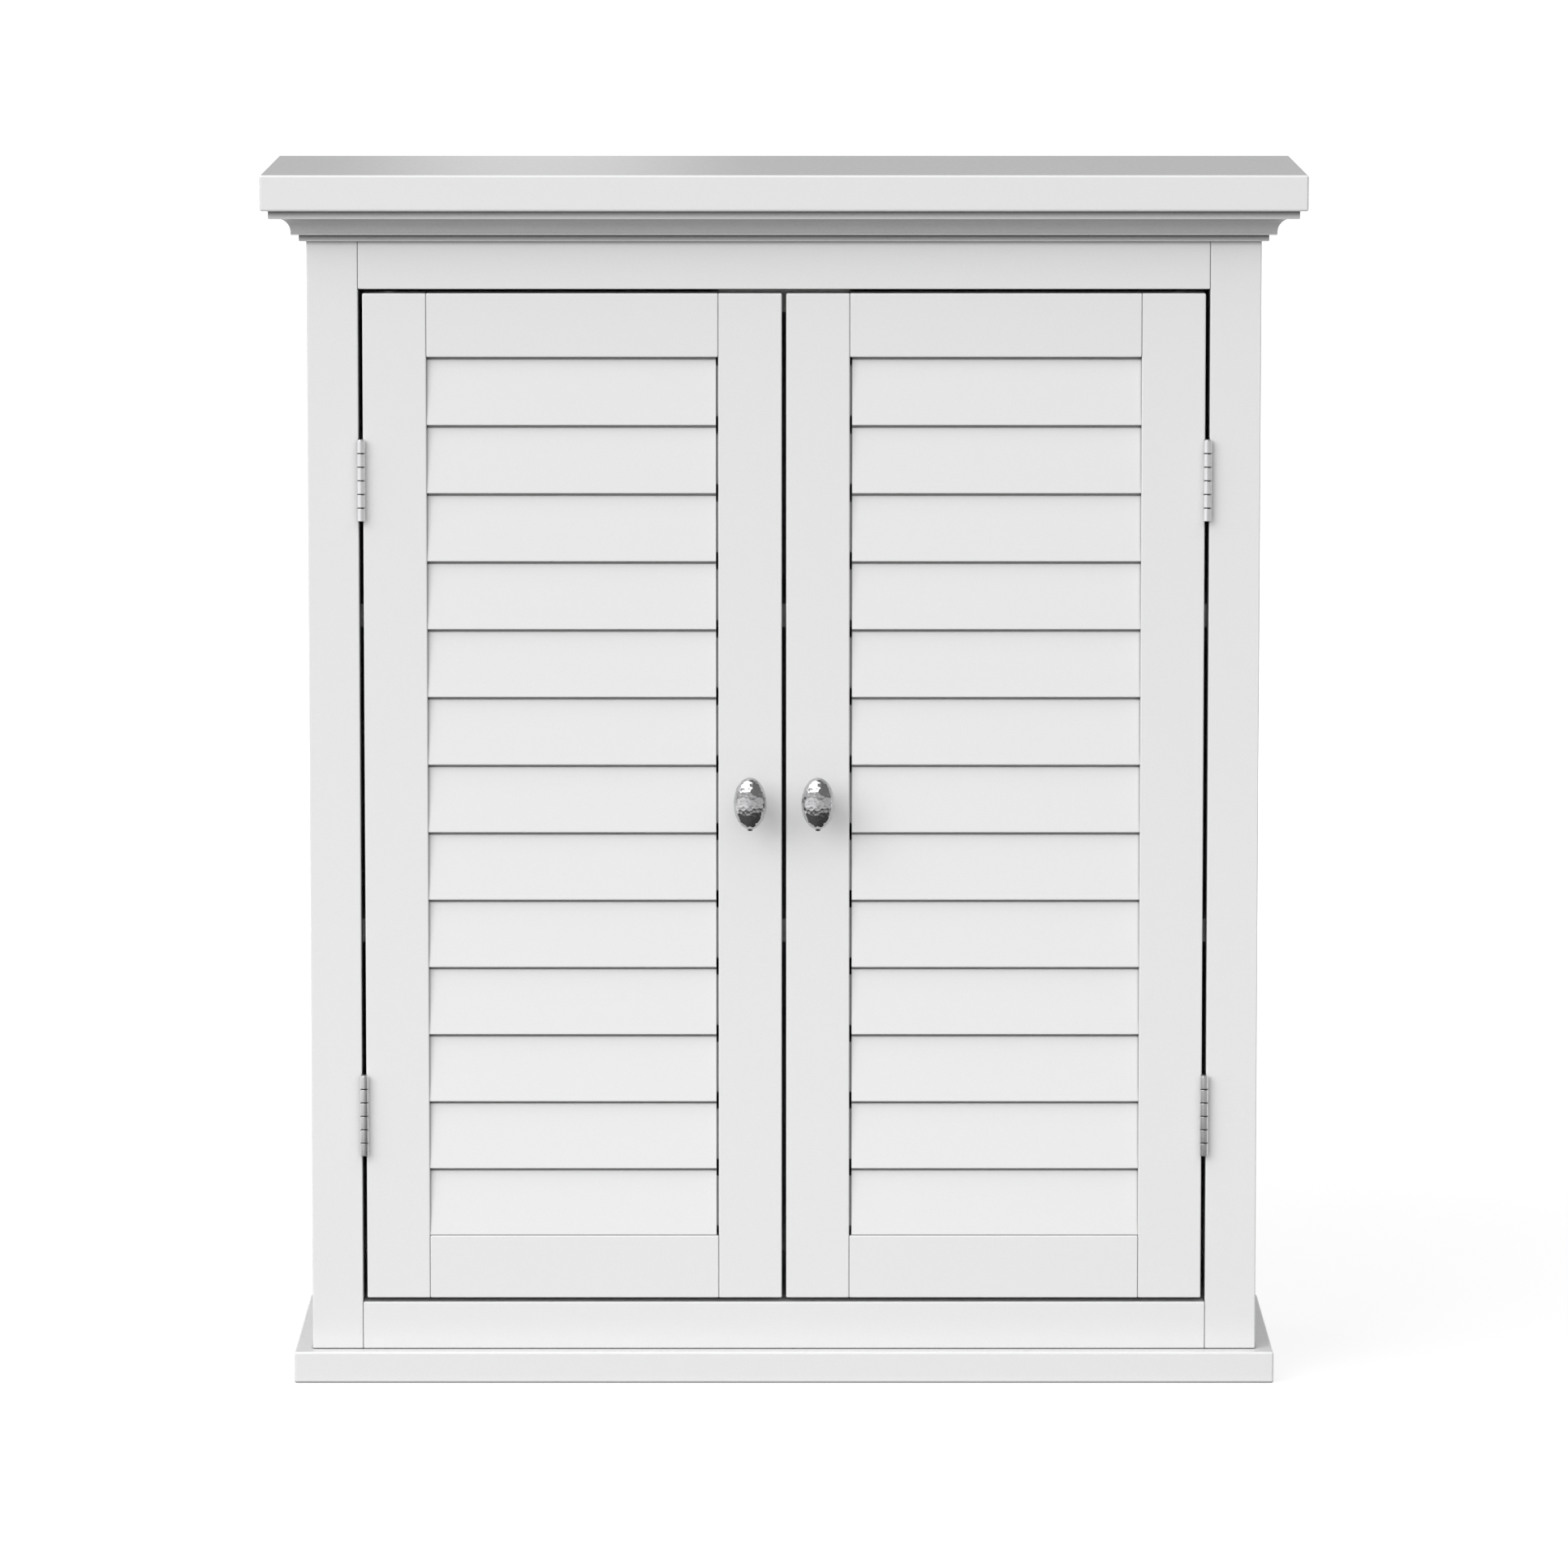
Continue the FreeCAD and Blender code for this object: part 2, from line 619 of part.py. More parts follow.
def back_panel():
    """The thin back, let into the rebates and nailed, with the two wall screw holes."""
    width = "2 * (Places.inner_half + Sizes.back_rebate)"
    body = board("back_panel", width, "Sizes.back_thickness", "Places.body_height")
    up = "Places.wall_hole_z - Sizes.base_thickness"
    centres = [(f"{side} * Places.wall_hole_x", up) for side in HANDS.values()]
    cut(body, draw_circles(body, "wall_holes", "XZ_Plane", centres, "Sizes.wall_hole_radius"))
    centres = [(f"{side} * Places.nail_x", "Sizes.nail_inset") for side in HANDS.values()]
    shanks = draw_circles(body, "nails", "XZ_Plane", centres, "Sizes.nail_radius + Sizes.fit_clearance")
    radius = "Sizes.nail_head_radius + Sizes.fit_clearance"
    heads = draw_circles(body, "nail_heads", "XZ_Plane", centres, radius, "-Sizes.back_thickness")
    features = [cut(body, shanks), cut(body, heads, "Sizes.nail_head_thickness", True)]
    repeat(body, features, shanks, "V_Axis", "Places.nail_pitch", "Sizes.nail_rows")
    keep(place(body, "0", "Places.panel_front_y", "Sizes.base_thickness"))


def shelf(name, row):
    width = "2 * (Places.inner_half - Sizes.shelf_side_gap)"
    body = board(name, width, "Places.shelf_back_y - Places.shelf_front_y", "Sizes.shelf_thickness")
    keep(place(body, "0", "Places.shelf_front_y", f"{peg_height(row)} + Sizes.peg_seat_rise"))


def peg_height(row):
    return f"Sizes.peg_row_start + {row} * Sizes.peg_row_pitch"


# ---------------------------------------------------------------- face frame and cornice


def face_stile(hand, side):
    """A full-height stile with dowel holes for the rails and pilot holes for the hinge screws."""
    lengths = ("Sizes.face_stile_width", "Sizes.face_thickness", "Places.body_height")
    body = board(f"{hand}_face_stile", *lengths, "Fillet", "Sizes.member_round")
    inner = f"{-side} * Sizes.face_stile_width / 2"
    into_stile = side > 0
    mid = "Sizes.face_thickness / 2"
    centres = [(mid, f"{up} - Sizes.base_thickness") for up in face_dowel_heights()]
    radius = "Sizes.dowel_radius + Sizes.fit_clearance"
    sketch = draw_circles(body, "dowels", "YZ_Plane", centres, radius, inner)
    cut(body, sketch, "Sizes.dowel_length / 2", into_stile)
    reach = "Places.leaf_screw_reach - Sizes.hinge_axis_proud"
    centres = [(reach, f"{up} - Sizes.base_thickness") for up in leaf_screw_heights()]
    radius = "Sizes.small_shank_radius + Sizes.fit_clearance"
    sketch = draw_circles(body, "hinge_screws", "YZ_Plane", centres, radius, inner)
    cut(body, sketch, "Places.screw_in_wood", into_stile)
    across = f"{side} * (Sizes.body_width - Sizes.face_stile_width) / 2"
    keep(place(body, across, "Places.face_y", "Sizes.base_thickness"))


def face_rail(name, height, foot, dowel_heights):
    lengths = ("2 * Places.opening_half", "Sizes.face_thickness", height)
    body = board(name, *lengths, "Fillet", "Sizes.member_round")
    centres = [("Sizes.face_thickness / 2", f"{up} - ({foot})") for up in dowel_heights]
    radius = "Sizes.dowel_radius + Sizes.fit_clearance"
    end_holes(body, "Places.opening_half", centres, radius, "Sizes.dowel_length / 2")
    return place(body, "0", "Places.face_y", foot)


def face_rails():
    """The rails over and under the doors; the lower one is held down by two base screws."""
    heights = face_dowel_heights()
    keep(face_rail("top_face_rail", "Places.top_rail_height", "Places.opening_top_z", heights[2:]))
    rail = face_rail("bottom_face_rail", "Sizes.bottom_rail_height", "Sizes.base_thickness", heights[:2])
    across = "Places.opening_half - Sizes.rail_screw_inset"
    centres = [(f"{side} * ({across})", "Sizes.face_thickness / 2") for side in HANDS.values()]
    radius = "Sizes.base_screw_radius + Sizes.fit_clearance"
    sketch = draw_circles(rail, "base_screws", "XY_Plane", centres, radius)
    cut(rail, sketch, "Sizes.base_screw_length - Sizes.base_thickness + Sizes.hole_end_space", True)
    keep(rail)


def cornice_profile(body, role, outwards):
    """Two fillets with a cove between, drawn outwards from the body and up from the lower edge."""
    corners = (
        ("0", "0"),
        ("Sizes.lower_fillet_projection", "0"),
        ("Sizes.lower_fillet_projection", "Sizes.lower_fillet_height"),
        ("Sizes.cove_foot_projection", "Sizes.lower_fillet_height"),
        ("Sizes.cove_foot_projection", "Sizes.cove_foot_height"),
        ("Sizes.cove_head_projection", "Sizes.cove_head_height"),
        ("Sizes.cornice_projection", "Sizes.cove_head_height"),
        ("Sizes.cornice_projection", "Sizes.cornice_height"),
        ("0", "Sizes.cornice_height"),
    )
    cove = 4
    sketch = new_sketch(body, "profile", role)
    corners = [(f"{outwards} * {across}", up) for across, up in corners]
    points = [FreeCAD.Vector(value(across), value(up), 0) for across, up in corners]
    run = "(Sizes.cove_head_projection - Sizes.cove_foot_projection)"
    rise = "(Sizes.cove_head_height - Sizes.cove_foot_height)"
    radius = f"({run} ^ 2 + {rise} ^ 2) / (2 * {run})"
    centre = points[cove] + FreeCAD.Vector(outwards * value(radius), 0, 0)
    swing = math.asin(value(rise) / value(radius))
    halfway = centre + FreeCAD.Vector(
        -outwards * value(radius) * math.cos(swing / 2), value(radius) * math.sin(swing / 2), 0
    )
    count = len(points)
    for index in range(count):
        end = points[(index + 1) % count]
        if index == cove:
            sketch.addGeometry(Part.Arc(points[index], halfway, end), False)
        else:
            sketch.addGeometry(Part.LineSegment(points[index], end), False)
    first_of = {index: 1 for index in range(count)}
    last_of = {index: 2 for index in range(count)}
    if outwards > 0:
        first_of[cove], last_of[cove] = 2, 1
    for index in range(count):
        after = (index + 1) % count
        sketch.addConstraint(
            Sketcher.Constraint("Coincident", index, last_of[index], after, first_of[after])
        )
    for index, (across, up) in enumerate(corners):
        fix_point(sketch, index, first_of[index], across, up)
    bound = sketch.addConstraint(Sketcher.Constraint("Radius", cove, value(radius)))
    sketch.setExpression(f"Constraints[{bound}]", radius)
    return sketch


def cornice_lips():
    """(outwards, up) of the moulding's three lower lips, which are rounded."""
    return (
        (value("Sizes.lower_fillet_projection"), 0.0),
        (value("Sizes.cove_foot_projection"), value("Sizes.lower_fillet_height")),
        (value("Sizes.cornice_projection"), value("Sizes.cove_head_height")),
    )


def same_spot(first, second):
    return all(math.isclose(a, b, abs_tol=NEARLY_NOTHING) for a, b in zip(first, second))


def on_lip(outwards, up):
    return any(same_spot((outwards, up), lip) for lip in cornice_lips())


def front_cornice():
    """The front length, mitred at both ends."""
    body = new_body("front_cornice")
    sketch = cornice_profile(body, "YZ_Plane", -1)
    blank = pad(body, sketch, "Sizes.body_width + 2 * Sizes.cornice_projection", both_ways=True)

    def at_lip(start, end):
        return on_lip(-start.y, start.z) and on_lip(-end.y, end.z)

    soften(body, blank, "Fillet", "Sizes.cornice_round", at_lip)
    for hand, side in HANDS.items():
        corner = f"{side} * Sizes.body_width / 2"
        tip = f"{side} * (Sizes.body_width / 2 + Sizes.cornice_projection + Sizes.cut_margin)"
        reach = "-(Sizes.cornice_projection + Sizes.cut_margin)"
        outline = ((corner, "0"), (tip, reach), (tip, "0"))
        cut(body, draw_outline(body, f"{hand}_mitre", "XY_Plane", outline))
    keep(place(body, "0", "Places.face_y", "Places.body_top_z - Sizes.cornice_height"))


def side_cornice(hand, side):
    """A return along the side, mitred at the front and square at the wall."""
    body = new_body(f"{hand}_cornice")
    sketch = cornice_profile(body, "XZ_Plane", side)
    blank = pad(body, sketch, "Sizes.body_depth + Sizes.cornice_projection")

    def at_lip(start, end):
        return on_lip(side * start.x, start.z) and on_lip(side * end.x, end.z)

    soften(body, blank, "Fillet", "Sizes.cornice_round", at_lip)
    tip = f"{side} * (Sizes.cornice_projection + Sizes.cut_margin)"
    reach = "-(Sizes.body_depth + Sizes.cornice_projection + Sizes.cut_margin)"
    outline = (("0", "-Sizes.body_depth"), (tip, reach), ("0", reach))
    cut(body, draw_outline(body, "mitre", "XY_Plane", outline))
    foot = "Places.body_top_z - Sizes.cornice_height"
    keep(place(body, f"{side} * Sizes.body_width / 2", "Places.back_y", foot))


# ---------------------------------------------------------------- doors


def leaning(inset, up):
    """A point at an inset behind a slat's leaning face, at a height above the slat's lower edge."""
    return (f"Sizes.slat_lip_setback + {inset} + ({up}) * Places.slat_slope", up)


def louvre_slat():
    """One slat, centred on X: a leaning board whose rebated head tucks behind the slat above."""
    body = new_body("louvre_slat")
    shoulder = "Places.slat_pitch - Sizes.slat_gap"
    head = "Places.slat_pitch + Sizes.slat_overlap"
    behind = "(Sizes.slat_depth + Sizes.slat_clearance - Sizes.slat_lean)"
    outline = (
        leaning("0", "0"),
        leaning("0", shoulder),
        leaning(behind, shoulder),
        leaning(behind, head),
        leaning("Sizes.slat_depth", head),
        ("Sizes.slat_lip_setback + Sizes.slat_depth", "0"),
    )
    sketch = draw_outline(body, "section", "YZ_Plane", outline)
    blank = pad(body, sketch, "Places.louvre_width - 2 * Sizes.slat_end_gap", both_ways=True)
    fronts = [(value(across), value(up)) for across, up in outline[:2]]

    def on_front_edge(start, end):
        return all(any(same_spot((point.y, point.z), spot) for spot in fronts) for point in (start, end))

    soften(body, blank, "Fillet", "Sizes.slat_round", on_front_edge)
    tenon = draw_outline(body, "tenon", "YZ_Plane", slat_tenon_outline("0"))
    pad(body, tenon, "Places.louvre_width + 2 * Sizes.slat_tenon_length", both_ways=True)
    return body


def slat_tenon_outline(clearance):
    """The slat's end tenon seen along X, grown by a clearance all round."""
    low = f"Sizes.slat_tenon_shoulder - {clearance}"
    high = f"Places.slat_pitch - Sizes.slat_tenon_shoulder + {clearance}"
    front = f"Sizes.slat_tenon_inset - {clearance}"
    rear = f"Sizes.slat_tenon_inset + Sizes.slat_tenon_thickness + {clearance}"
    return (leaning(front, low), leaning(rear, low), leaning(rear, high), leaning(front, high))


def door_stile(name, toward_louvres):
    """A stile with mortises for both rails and a housing for each slat's tenon."""
    lengths = ("Sizes.door_member_width", "Sizes.door_thickness", "Places.door_height")
    body = board(name, *lengths, "Fillet", "Sizes.member_round")
    inner = f"{toward_louvres} * Sizes.door_member_width / 2"
    into_stile = toward_louvres < 0
    half = "(Sizes.rail_tenon_thickness / 2 + Sizes.joint_clearance)"
    shoulder = "(Sizes.rail_tenon_shoulder - Sizes.joint_clearance)"
    for label, foot in (("lower", "0"), ("upper", "Places.door_height - Sizes.door_member_width")):
        low = (f"Sizes.door_thickness / 2 - {half}", f"{foot} + {shoulder}")
        high = (f"Sizes.door_thickness / 2 + {half}", f"{foot} + Sizes.door_member_width - {shoulder}")
        sketch = draw_rectangle(body, f"{label}_mortise", "YZ_Plane", low, high, inner)
        cut(body, sketch, "Sizes.rail_tenon_length + Sizes.hole_end_space", into_stile)
    tenon = slat_tenon_outline("Sizes.joint_clearance")
    outline = [(across, f"{up} + Sizes.door_member_width") for across, up in tenon]
    sketch = draw_outline(body, "slat_housing", "YZ_Plane", outline, inner)
    first = cut(body, sketch, "Sizes.slat_tenon_length + Sizes.hole_end_space", into_stile)
    repeat(body, [first], sketch, "V_Axis", "Places.slat_pitch", "Sizes.slat_count")
    return body


def hinge_stile(hand, side):
    body = door_stile(f"{hand}_door_hinge_stile", -side)
    reach = "Places.leaf_screw_reach - Sizes.hinge_axis_proud"
    centres = [(reach, f"{up} - Places.door_bottom_z") for up in leaf_screw_heights()]
    radius = "Sizes.small_shank_radius + Sizes.fit_clearance"
    outer = f"{side} * Sizes.door_member_width / 2"
    sketch = draw_circles(body, "hinge_screws", "YZ_Plane", centres, radius, outer)
    cut(body, sketch, "Places.screw_in_wood", backwards=side < 0)
    keep(place(body, f"{side} * Places.hinge_mid_x", "Places.face_y", "Places.door_bottom_z"))


def meeting_stile(hand, side):
    """The stile at the middle of the cabinet, bored for the knob's screw and the strike's."""
    body = door_stile(f"{hand}_door_meeting_stile", side)
    radius = "Sizes.knob_screw_radius + Sizes.fit_clearance"
    cut(body, draw_circles(body, "knob_hole", "XZ_Plane", [("0", "Places.door_height / 2")], radius))
    radius = "Sizes.small_shank_radius + Sizes.fit_clearance"
    centre = ("0", "Places.strike_z - Places.door_bottom_z")
    sketch = draw_circles(body, "strike_hole", "XZ_Plane", [centre], radius, "-Sizes.door_thickness")
    depth = "Sizes.small_screw_length - Sizes.strike_thickness + Sizes.hole_end_space"
    cut(body, sketch, depth, backwards=True)
    keep(place(body, f"{side} * Places.meeting_mid_x", "Places.face_y", "Places.door_bottom_z"))


def door_rail(name, side, foot):
    """A rail between the stiles with a stub tenon at each end."""
    lengths = ("Places.louvre_width", "Sizes.door_thickness", "Sizes.door_member_width")
    body = board(name, *lengths, "Fillet", "Sizes.member_round")
    half = "Sizes.rail_tenon_thickness / 2"
    low = (f"Sizes.door_thickness / 2 - {half}", "Sizes.rail_tenon_shoulder")
    high = (f"Sizes.door_thickness / 2 + {half}", "Sizes.door_member_width - Sizes.rail_tenon_shoulder")
    tenon = draw_rectangle(body, "tenon", "YZ_Plane", low, high)
    pad(body, tenon, "Places.louvre_width + 2 * Sizes.rail_tenon_length", both_ways=True)
    return place(body, f"{side} * Places.door_mid_x", "Places.face_y", foot)


def door_rails(hand, side):
    """The rails; the top one is grooved beneath for the head of the top slat."""
    keep(door_rail(f"{hand}_door_bottom_rail", side, "Places.door_bottom_z"))
    rail = door_rail(f"{hand}_door_top_rail", side, "Places.door_top_z - Sizes.door_member_width")
    half = "Places.louvre_width / 2 + Sizes.cut_margin"
    behind = "Sizes.slat_lip_setback + Sizes.slat_depth"
    lean = "Sizes.slat_lean + Sizes.slat_overlap * Places.slat_slope"
    low = (f"-({half})", behind)
    high = (half, f"{behind} + 2 * Sizes.slat_clearance + {lean}")
    groove = draw_rectangle(rail, "groove", "XY_Plane", low, high)
    cut(rail, groove, "Sizes.slat_overlap + Sizes.slat_clearance", backwards=True)
    keep(rail)


def door_slats(hand, side, master):
    spots = []
    for index in range(int(value("Sizes.slat_count"))):
        foot = f"Places.door_bottom_z + Sizes.door_member_width + {index} * Places.slat_pitch"
        spots.append((f"{side} * Places.door_mid_x", "Places.face_y", foot, NO_TURN))
    copies(f"{hand}_door_slats", master, spots)


# ---------------------------------------------------------------- hinges


def hinge_leaf(name, inwards, first_knuckle):
    """A leaf on the side of the gap that inwards names, with every other knuckle of the barrel."""
    body = new_body(name)
    outer = f"{inwards} * Sizes.door_gap / 2"
    inner = f"{inwards} * (Sizes.door_gap / 2 - Places.leaf_thickness)"
    low = (outer, "Places.leaf_root")
    high = (inner, "Sizes.leaf_reach")
    plate = pad(body, draw_rectangle(body, "plate", "XY_Plane", low, high), "Sizes.hinge_height")
    rear = value("Sizes.leaf_reach")

    def at_rear_corner(start, end):
        across_plate = not math.isclose(start.x, end.x)
        return across_plate and math.isclose(start.y, rear) and math.isclose(end.y, rear)

    soften(body, plate, "Fillet", "Sizes.leaf_corner_radius", at_rear_corner)

    foot = f"{first_knuckle} * Places.knuckle_pitch + Sizes.knuckle_gap / 2"
    length = "Places.knuckle_pitch - Sizes.knuckle_gap"
    tab = draw_rectangle(body, "tab", "XY_Plane", (outer, "0"), (inner, "Places.leaf_root"), foot)
    ring = draw_circles(body, "knuckle", "XY_Plane", [("0", "0")], "Sizes.barrel_radius", foot)
    knuckle = [pad(body, tab, length), pad(body, ring, length)]
    repeat(body, knuckle, ring, "N_Axis", "2 * Places.knuckle_pitch", "Sizes.knuckle_count / 2")
    bore = draw_circles(body, "bore", "XY_Plane", [("0", "0")], "Sizes.pin_radius + Sizes.fit_clearance")
    cut(body, bore)

    half = "Sizes.hinge_height / 2"
    centres = [("Places.leaf_screw_reach", f"{half} {sign} Sizes.leaf_screw_spread / 2") for sign in "-+"]
    sketch = draw_circles(body, "screws", "YZ_Plane", centres, "Sizes.small_shank_radius", inner)
    countersink(body, sketch, SMALL_SCREW, backwards=inwards > 0)
    return body


def hinges():
    """Two butt hinges to each door, in the gap beside it, with the barrel in front of the face."""
    profile = rod_profile("Sizes.pin_radius", "Sizes.hinge_height", "Sizes.metal_bevel")
    pin = turned("hinge_pin", profile)
    pins = []
    for hand, side in HANDS.items():
        for level, middle in HINGES.items():
            foot = f"{middle} - Sizes.hinge_height / 2"
            spot = (f"{side} * Places.axis_x", "Places.axis_y", foot)
            keep(place(hinge_leaf(f"{hand}_{level}_frame_leaf", side, 0), *spot))
            keep(place(hinge_leaf(f"{hand}_{level}_door_leaf", -side, 1), *spot))
            pins.append((*spot, NO_TURN))
    copies("hinge_pins", pin, pins)


def rod_profile(radius, length, chamfer):
    return (
        ("0", "0"),
        (f"{radius} - {chamfer}", "0"),
        (radius, chamfer),
        (radius, f"{length} - {chamfer}"),
        (f"{radius} - {chamfer}", length),
        ("0", length),
    )


def screw_profile(radii, length):
    """A countersunk wood screw of (head, shank) radii, head flat at Z 0 and point up."""
    head_radius, shank_radius = radii
    return (
        ("0", "0"),
        (head_radius, "0"),
        (shank_radius, f"{head_radius} - {shank_radius}"),
        (shank_radius, f"{length} - Sizes.screw_tip_length"),
        ("0", length),
    )


def small_screws():
    """The hinge screws in frame and doors, and the screw in each strike plate."""
    profile = screw_profile(SMALL_SCREW, "Sizes.small_screw_length")
    master = turned("small_screw", profile)
    back = "Places.axis_y + Places.leaf_screw_reach"
    in_frame = []
    for hand, side in HANDS.items():
        outwards = FreeCAD.Rotation(Y_AXIS, 90 * side)
        inwards = FreeCAD.Rotation(Y_AXIS, -90 * side)
        frame_face = f"{side} * (Places.opening_half - Places.leaf_thickness)"
        door_face = f"{side} * (Places.opening_half - Sizes.door_gap + Places.leaf_thickness)"
        in_frame += [(frame_face, back, up, outwards) for up in leaf_screw_heights()]
        in_door = [(door_face, back, up, inwards) for up in leaf_screw_heights()]
        copies(f"{hand}_door_hinge_screws", master, in_door)
        forwards = FreeCAD.Rotation(X_AXIS, 90)
        behind = "Places.door_back_y + Sizes.strike_thickness"
        strike = (f"{side} * Places.meeting_mid_x", behind, "Places.strike_z", forwards)
        copies(f"{hand}_strike_screw", master, [strike])
    copies("frame_hinge_screws", master, in_frame)


# ---------------------------------------------------------------- knobs


def along_front(kind, name, sizes_bound, start):
    """A Part primitive whose own Z points out of the door's face, start in front of that face."""
    item = doc.addObject(f"Part::{kind}", name)
    item.Placement = FreeCAD.Placement(FreeCAD.Vector(), FreeCAD.Rotation(X_AXIS, 90))
    for size, expression in sizes_bound.items():
        item.setExpression(size, expression)
    item.setExpression("Placement.Base.y", f"-({start})")
    return item


def knob_body(hand, side):
    """An upright egg on a short waisted neck, with a small nub under it and a blind screw hole."""
    name = f"{hand}_knob"
    egg = doc.addObject("Part::Ellipsoid", f"{name}_egg")
    egg.setExpression("Radius1", "Sizes.knob_height / 2")
    egg.setExpression("Radius2", "Sizes.knob_width / 2")
    egg.setExpression("Radius3", "Sizes.knob_width / 2")
    egg.setExpression("Placement.Base.y", "-Sizes.knob_standoff")
    nub = doc.addObject("Part::Cylinder", f"{name}_nub")
    nub.setExpression("Radius", "Sizes.knob_nub_radius")
    nub.setExpression("Height", "Sizes.knob_height / 2 + Sizes.knob_nub_height")
    nub.setExpression("Placement.Base.y", "-Sizes.knob_standoff")
    nub.setExpression("Placement.Base.z", "-(Sizes.knob_height / 2 + Sizes.knob_nub_height)")
    neck_sizes = {
        "Radius1": "Sizes.knob_foot_radius",
        "Radius2": "Sizes.knob_neck_radius",
        "Height": "Sizes.knob_standoff - Sizes.rosette_thickness",
    }
    neck = along_front("Cone", f"{name}_neck", neck_sizes, "Sizes.rosette_thickness")
    solid = doc.addObject("Part::MultiFuse", f"{name}_solid")
    solid.Shapes = [egg, nub, neck]
    bore_sizes = {
        "Radius": "Sizes.knob_screw_radius + Sizes.fit_clearance",
        "Height": "Sizes.knob_screw_grip + Sizes.hole_end_space",
    }
    bore = along_front("Cylinder", f"{name}_bore", bore_sizes, "Sizes.rosette_thickness")
    knob = doc.addObject("Part::Cut", name)
    knob.Base = solid
    knob.Tool = bore
    keep(place(knob, f"{side} * Places.meeting_mid_x", "Places.face_y", "Places.door_mid_z"))


def knob_rosette(hand, side):
    """The round plate between knob and door."""
    inner = "Sizes.knob_screw_radius + Sizes.fit_clearance"
    profile = (
        (inner, "0"),
        ("Sizes.rosette_radius", "0"),
        ("Sizes.rosette_radius", "Sizes.rosette_thickness - Sizes.rosette_chamfer"),
        ("Sizes.rosette_radius - Sizes.rosette_chamfer", "Sizes.rosette_thickness"),
        (inner, "Sizes.rosette_thickness"),
    )
    body = turned(f"{hand}_knob_rosette", profile)
    spot = (f"{side} * Places.meeting_mid_x", "Places.face_y", "Places.door_mid_z")
    keep(place(body, *spot, FreeCAD.Rotation(X_AXIS, 90)))


def knob_screw(hand, side):
    """The pan-head machine screw through the door into the knob."""
    grip = "Sizes.door_thickness + Sizes.rosette_thickness + Sizes.knob_screw_grip"
    profile = (
        ("0", "-Sizes.knob_screw_head_height"),
        ("0.75 * Sizes.knob_screw_head_radius", "-Sizes.knob_screw_head_height"),
        ("Sizes.knob_screw_head_radius", "-Sizes.knob_screw_head_height / 2"),
        ("Sizes.knob_screw_head_radius", "0"),
        ("Sizes.knob_screw_radius", "0"),
        ("Sizes.knob_screw_radius", grip),
        ("0", grip),
    )
    body = turned(f"{hand}_knob_screw", profile)
    spot = (f"{side} * Places.meeting_mid_x", "Places.door_back_y", "Places.door_mid_z")
    keep(place(body, *spot, FreeCAD.Rotation(X_AXIS, 90)))


# ---------------------------------------------------------------- catch


def strike_plate(hand, side):
    lengths = ("Sizes.strike_width", "Sizes.strike_thickness", "Sizes.strike_height")
    body = board(f"{hand}_strike_plate", *lengths, edge="Sizes.metal_bevel")
    centre = ("0", "Sizes.strike_height / 2")
    radius = "Sizes.small_shank_radius"
    sketch = draw_circles(body, "screw", "XZ_Plane", [centre], radius, "-Sizes.strike_thickness")
    countersink(body, sketch, SMALL_SCREW, backwards=True)
    foot = "Places.strike_z - Sizes.strike_height / 2"
    keep(place(body, f"{side} * Places.meeting_mid_x", "Places.door_back_y", foot))


def catch():
    """A double magnetic catch under a block glued behind the top rail."""
    lengths = ("Sizes.catch_block_width", "Sizes.catch_block_depth", "Places.top_rail_height")
    block = board("catch_block", *lengths)
    centres = [(across, f"{back} - Places.frame_back_y") for across, back in catch_screw_spots()]
    radius = "Sizes.small_shank_radius + Sizes.fit_clearance"
    sketch = draw_circles(block, "screws", "XY_Plane", centres, radius)
    depth = "Sizes.catch_screw_length - Sizes.catch_height + Sizes.hole_end_space"
    cut(block, sketch, depth, backwards=True)
    keep(place(block, "0", "Places.frame_back_y", "Places.opening_top_z"))

    housing = board("catch_housing", "Sizes.catch_width", "Sizes.catch_depth", "Sizes.catch_height")
    for hand, side in HANDS.items():
        middle = f"{side} * Places.meeting_mid_x"
        low = (f"{middle} - Sizes.magnet_width / 2", "(Sizes.catch_height - Sizes.magnet_height) / 2")
        high = (f"{middle} + Sizes.magnet_width / 2", "(Sizes.catch_height + Sizes.magnet_height) / 2")
        sketch = draw_rectangle(housing, f"{hand}_magnet", "XZ_Plane", low, high)
        cut(housing, sketch, "Sizes.magnet_depth")
    centres = [(across, f"{back} - Places.catch_y") for across, back in catch_screw_spots()]
    sketch = draw_circles(housing, "screws", "XY_Plane", centres, "Sizes.small_shank_radius")
    countersink(housing, sketch, SMALL_SCREW, backwards=True)
    foot = "Places.opening_top_z - Sizes.catch_height"
    keep(place(housing, "0", "Places.catch_y", foot))

    lengths = ("Sizes.magnet_width", "Sizes.magnet_depth + Sizes.magnet_proud", "Sizes.magnet_height")
    magnet = board("catch_magnet", *lengths, edge="Sizes.metal_bevel")
    front = "Places.catch_y - Sizes.magnet_proud"
    up = f"{foot} + (Sizes.catch_height - Sizes.magnet_height) / 2"
    spots = [(f"{side} * Places.meeting_mid_x", front, up, NO_TURN) for side in HANDS.values()]
    copies("catch_magnets", magnet, spots)

    profile = screw_profile(SMALL_SCREW, "Sizes.catch_screw_length")
    master = turned("catch_screw", profile)
    spots = [(across, back, foot, NO_TURN) for across, back in catch_screw_spots()]
    copies("catch_screws", master, spots)


# ---------------------------------------------------------------- pegs, dowels, cams, screws and nails


